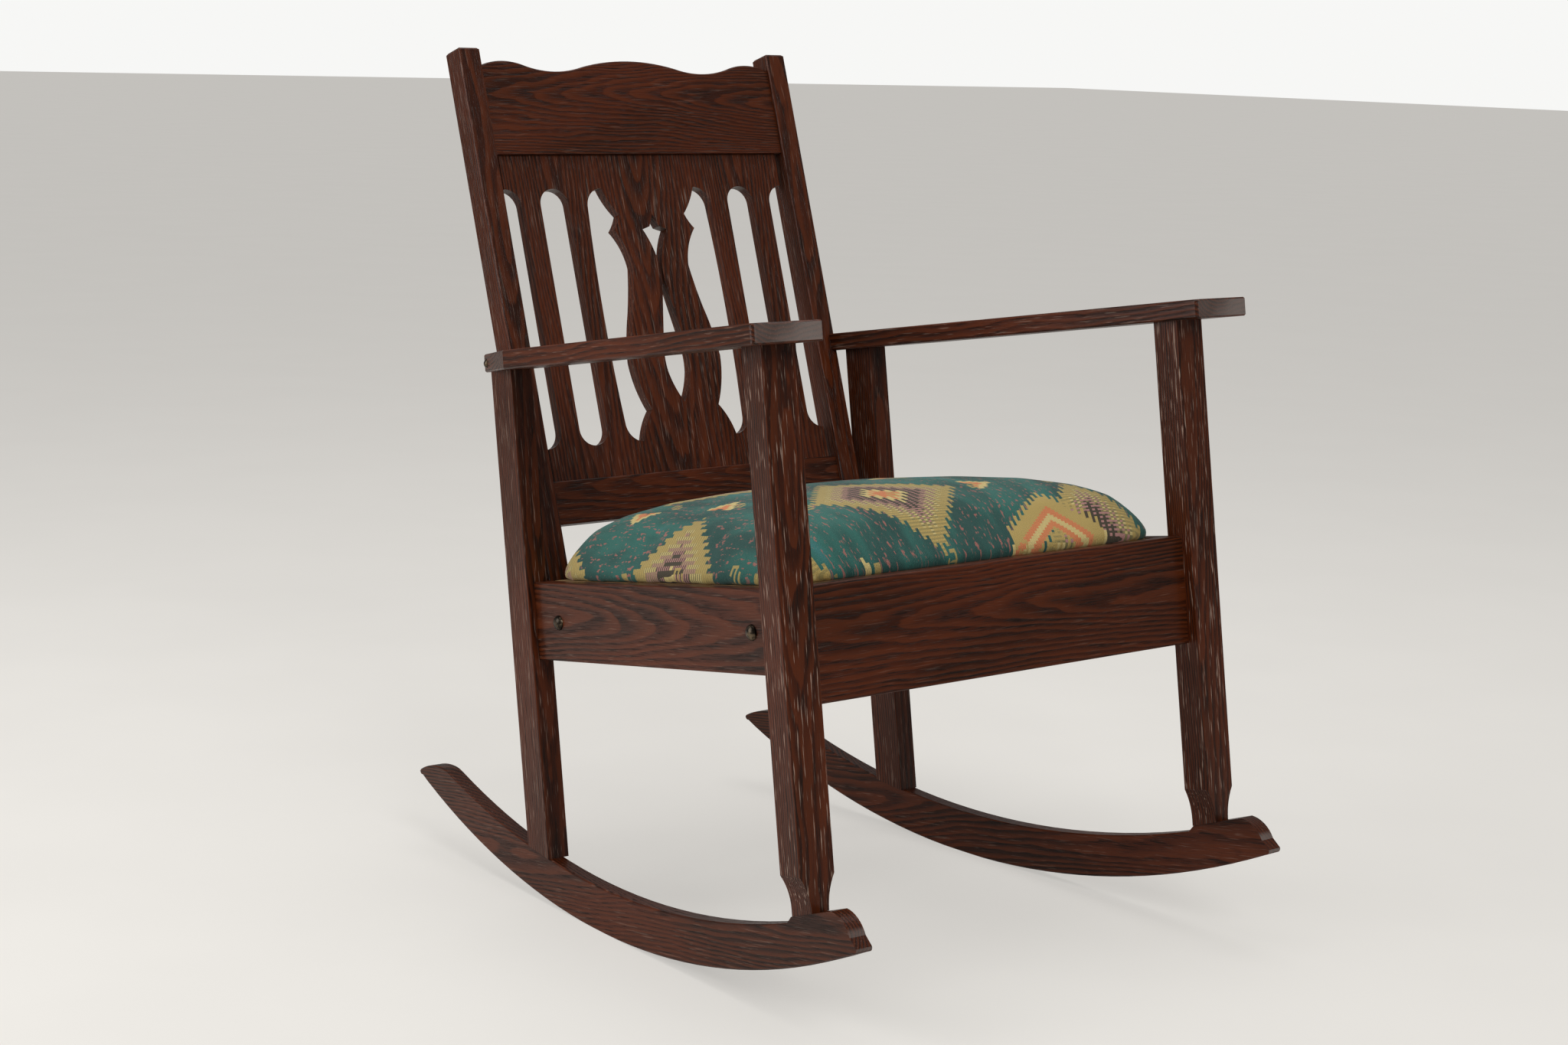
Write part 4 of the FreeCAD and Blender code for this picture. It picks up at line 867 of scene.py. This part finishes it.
@dataclass
class Seat:
    """The lift-out seat: its tapestry dome, webbing and dust cover."""

    nodes: dict[str, bpy.types.Object]
    near: float = 0.0328
    far: float = 0.5080
    inset: float = 0.0386
    base: float = 0.4016
    crown: float = 0.080
    voxel: float = 0.0055
    pressure: float = 4.0
    cap: float = 0.010
    steps: int = 20
    shares: tuple[float, ...] = (0.012, 0.03, 0.06, 0.10, 0.15, 0.21, 0.28, 0.36, 0.45, 0.55, 0.66,
                                 0.78, 0.90)

    def ring(self, share: float, count: int = 96) -> list[Vector]:
        """Outline of the dome at one level: a rounded square that gets rounder towards the middle.

        Args:
            share: How far in from the edge it is, from 0 to 1.
            count: Number of points.

        Returns:
            The points in the upright chair's plan.
        """
        middle = (self.near + self.far) / 2
        span = (self.far - self.near) / 2
        power = 2.2 + 9.0 * (1 - share) ** 2.2
        points = []
        for number in range(count):
            angle = 2 * math.pi * (number + 0.5) / count
            cosine, sine = math.cos(angle), math.sin(angle)
            reach = (abs(cosine) ** power + abs(sine) ** power) ** (-1 / power) * (1 - share)
            depth = middle + span * reach * sine
            points.append(Vector((half_at(self.inset, depth) * reach * cosine, depth, 0.0)))
        return points

    def rise(self, share: float) -> float:
        """Height of the dome over its base at a share of the way in.

        Args:
            share: How far in from the edge, from 0 to 1.

        Returns:
            The height as a share of the crown.
        """
        shares = (0.0, 0.004, 0.020, 0.045, 0.10, 0.20, 0.36, 0.56, 0.78, 1.0)
        rises = (0.10, 0.16, 0.29, 0.40, 0.555, 0.72, 0.865, 0.955, 0.993, 1.0)
        return float(np.interp(share, shares, rises))

    def blank(self) -> bpy.types.Object:
        """Builds the dome ring by ring from a circle, closed below.

        Returns:
            The closed dome, at rest.
        """
        clear_selection()
        levels = [(0.010, 0.0), (0.0, 0.09)]
        levels += [(share, self.rise(share)) for share in self.shares]
        first = self.ring(levels[0][0])
        bpy.ops.mesh.primitive_circle_add(vertices=len(first), fill_type="NGON")
        piece = bpy.context.object
        piece.name = "tapestry_seat"
        shell = bmesh.new()
        shell.from_mesh(piece.data)
        shell.verts.ensure_lookup_table()
        ring = list(shell.verts)
        for vertex, point in zip(ring, first):
            vertex.co = stand(point + Vector((0, 0, self.base)))
        for share, rise in levels[1:]:
            up = Vector((0, 0, self.base + self.crown * rise))
            fresh = [shell.verts.new(stand(point + up)) for point in self.ring(share)]
            for number in range(len(ring)):
                after = (number + 1) % len(ring)
                shell.faces.new((ring[number], ring[after], fresh[after], fresh[number]))
            ring = fresh
        top = shell.verts.new(stand(Vector((0, (self.near + self.far) / 2, self.base + self.crown))))
        for number in range(len(ring)):
            shell.faces.new((ring[number], ring[(number + 1) % len(ring)], top))
        bmesh.ops.recalc_face_normals(shell, faces=shell.faces)
        shell.to_mesh(piece.data)
        shell.free()
        return piece

    def upright(self, points: np.ndarray) -> np.ndarray:
        """Turns points at rest back into the upright chair."""
        turn = np.array(Matrix.Rotation(LEAN, 3, "X"))
        return (points - np.array(SHIFT)) @ turn.T

    def padded_up(self, piece: bpy.types.Object) -> None:
        """Swells the dome under its cover as cloth under pressure, held at the rails.

        Args:
            piece: The closed dome, changed in place.
        """
        only(piece)
        remesh = piece.modifiers.new("even", "REMESH")
        remesh.mode = "VOXEL"
        remesh.voxel_size = self.voxel
        bpy.ops.object.modifier_apply(modifier=remesh.name)
        start = np.array([vertex.co for vertex in piece.data.vertices])
        self.swell(piece)
        moved = np.array([vertex.co for vertex in piece.data.vertices])
        held = self.upright(start)
        freedom = np.clip((held[:, 2] - self.base - 0.012) / 0.030, 0.0, 1.0)
        step = moved - start
        length = np.linalg.norm(step, axis=1)
        limit = self.cap * freedom
        scale = np.where(length > limit, limit / np.maximum(length, 1e-9), 1.0)
        final = start + step * scale[:, None]
        for vertex, point in zip(piece.data.vertices, final):
            vertex.co = point
        only(piece)
        smooth = piece.modifiers.new("ease", "SMOOTH")
        smooth.factor = 0.5
        smooth.iterations = 3
        bpy.ops.object.modifier_apply(modifier=smooth.name)
        finer = piece.modifiers.new("finer", "SUBSURF")
        finer.levels = finer.render_levels = 1
        bpy.ops.object.modifier_apply(modifier=finer.name)

    def swell(self, piece: bpy.types.Object) -> None:
        """Runs the cloth on the dome and keeps where it ends.

        Args:
            piece: The closed dome, changed in place.
        """
        only(piece)
        cloth = piece.modifiers.new("cover", "CLOTH")
        cloth.settings.use_pressure = True
        cloth.settings.uniform_pressure_force = self.pressure
        cloth.settings.effector_weights.gravity = 0.0
        cloth.settings.quality = 5
        cloth.point_cache.frame_start = 1
        cloth.point_cache.frame_end = self.steps
        scene = bpy.context.scene
        for number in range(1, self.steps + 1):
            scene.frame_set(number)
        bpy.ops.object.modifier_apply(modifier=cloth.name)
        scene.frame_set(1)

    def lay_cloth(self, piece: bpy.types.Object) -> None:
        """Lays the flat cloth out over the dome, so that the pattern follows it down its sides.

        Args:
            piece: The finished dome, which gets the layout as its UV map.
        """
        points = self.upright(np.array([vertex.co for vertex in piece.data.vertices]))
        middle = (self.near + self.far) / 2
        x, y = points[:, 0], points[:, 1] - middle
        drop = np.clip(self.base + self.crown - points[:, 2], 0.0, 0.2)
        flat = np.sqrt(x * x + y * y)
        grown = 1 + 0.45 * drop / np.maximum(flat, 0.05)
        cloth = piece.data.uv_layers.new(name="cloth")
        across, along = x * grown, y * grown
        for loop in piece.data.loops:
            cloth.data[loop.index].uv = (across[loop.vertex_index], along[loop.vertex_index])

    def build(self) -> None:
        """Makes the dome and dresses the webbing and the dust cover."""
        piece = self.blank()
        self.padded_up(piece)
        self.lay_cloth(piece)
        use(piece, Tapestry().make())
        bpy.ops.object.shade_smooth()
        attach(piece, "seat")
        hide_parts("seat_cushion")
        log.info("seat: %d faces", len(piece.data.polygons))
        use(self.nodes["seat_webbing"], PlainWeave("jute_webbing", "6f5433", "a98a5d", 0.004).make())
        use(self.nodes["seat_dust_cover"], PlainWeave("dust_cloth", "141414", "2c2b2a", 0.002).make())


@dataclass
class Studio:
    """Plain pale floor, soft light and the camera."""

    floor_tone: str = "dedbd5"
    glow_tone: str = "ece9e4"
    wall_tone: float = 0.93
    glow_share: float = 0.55
    sky_strength: float = 0.26
    lens: float = 63.2417
    camera_place: tuple[float, float, float] = (-1.99767, -2.37314, 0.98591)
    camera_turn: tuple[tuple[float, float, float], ...] = (
        (0.777122, 0.087066, -0.623299),
        (-0.628696, 0.152559, -0.762540),
        (0.028699, 0.984452, 0.173295),
    )

    def build(self) -> None:
        """Makes the floor, the lamps, the world and the camera."""
        self.floor()
        self.world()
        self.lamp("window_lamp", (-3.0, 1.1, 1.6), (0.0, 0.0, 0.55), 2.4, 80.0)
        self.lamp("front_lamp", (-1.2, -3.6, 3.0), (0.0, 0.0, 0.45), 1.6, 85.0)
        self.lamp("top_lamp", (0.3, 0.2, 3.4), (0.0, 0.0, 0.4), 3.0, 60.0)
        self.camera()

    def floor(self) -> None:
        """Adds the floor."""
        clear_selection()
        bpy.ops.mesh.primitive_plane_add(size=90.0)
        floor = bpy.context.object
        floor.name = "floor"
        material, wiring, shader = new_material("pale_floor")
        place = wiring.add("ShaderNodeTexCoord").outputs["Object"]
        cloud = wiring.noise(place, 3.0, 3.0)
        shade = tone(self.floor_tone)
        darker = (shade[0] * 0.96, shade[1] * 0.96, shade[2] * 0.96, 1.0)
        wiring.feed(shader.inputs["Base Color"], wiring.mix(wiring.spread(cloud, 0.3, 0.7), shade, darker))
        shader.inputs["Roughness"].default_value = 0.80
        shader.inputs["Specular IOR Level"].default_value = 0.20
        glow = wiring.add("ShaderNodeEmission")
        glow.inputs["Color"].default_value = tone(self.glow_tone)
        seen = wiring.add("ShaderNodeLightPath").outputs["Is Camera Ray"]
        blend = wiring.add("ShaderNodeMixShader")
        wiring.feed(blend.inputs[0], wiring.math("MULTIPLY", seen, self.glow_share))
        wiring.feed(blend.inputs[1], shader.outputs[0])
        wiring.feed(blend.inputs[2], glow.outputs[0])
        output = [node for node in material.node_tree.nodes if node.type == "OUTPUT_MATERIAL"][0]
        wiring.feed(output.inputs["Surface"], blend.outputs[0])
        use(floor, material)

    def world(self) -> None:
        """Sets a soft even sky."""
        world = bpy.data.worlds.new("soft_sky")
        world.use_nodes = True
        wiring = Wiring(world.node_tree)
        world.node_tree.nodes.clear()
        seen = wiring.add("ShaderNodeLightPath").outputs["Is Camera Ray"]
        sky = wiring.add("ShaderNodeBackground")
        backdrop = wiring.add("ShaderNodeBackground")
        sky.inputs["Color"].default_value = (1.0, 0.99, 0.97, 1.0)
        sky.inputs["Strength"].default_value = self.sky_strength
        backdrop.inputs["Color"].default_value = (self.wall_tone, self.wall_tone, self.wall_tone * 0.985, 1.0)
        backdrop.inputs["Strength"].default_value = 1.0
        blend = wiring.add("ShaderNodeMixShader")
        wiring.feed(blend.inputs[0], seen)
        wiring.feed(blend.inputs[1], sky.outputs[0])
        wiring.feed(blend.inputs[2], backdrop.outputs[0])
        output = wiring.add("ShaderNodeOutputWorld")
        wiring.feed(output.inputs["Surface"], blend.outputs[0])
        bpy.context.scene.world = world
        bpy.context.scene.view_settings.view_transform = "Standard"

    def lamp(self, name: str, place: tuple[float, float, float], aim: tuple[float, float, float],
             size: float, power: float) -> None:
        """Adds a soft square lamp.

        Args:
            name: The lamp's name.
            place: Where it stands.
            aim: The point that it faces.
            size: Its width.
            power: Its power in watts.
        """
        data = bpy.data.lights.new(name, "AREA")
        data.size = size
        data.energy = power
        lamp = bpy.data.objects.new(name, data)
        lamp.location = place
        lamp.rotation_euler = (Vector(aim) - Vector(place)).to_track_quat("-Z", "Y").to_euler()
        bpy.context.scene.collection.objects.link(lamp)

    def camera(self) -> None:
        """Adds the camera at the photograph's angle."""
        data = bpy.data.cameras.new("camera")
        data.sensor_fit = "HORIZONTAL"
        data.sensor_width = 36.0
        data.lens = self.lens
        camera = bpy.data.objects.new("camera", data)
        camera.matrix_world = Matrix.Translation(self.camera_place) @ Matrix(self.camera_turn).to_4x4()
        bpy.context.scene.collection.objects.link(camera)
        bpy.context.scene.camera = camera


def main() -> None:
    """Builds and dresses the chair."""
    logging.basicConfig(level=logging.INFO, format="%(name)s: %(message)s")
    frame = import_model()
    clear_selection()
    nodes = frame["nodes"]
    Woodwork(nodes).dress()
    Fixings(nodes).build()
    Seat(nodes).build()
    Studio().build()
    log.info("size noted")


if __name__ == "__main__":
    main()
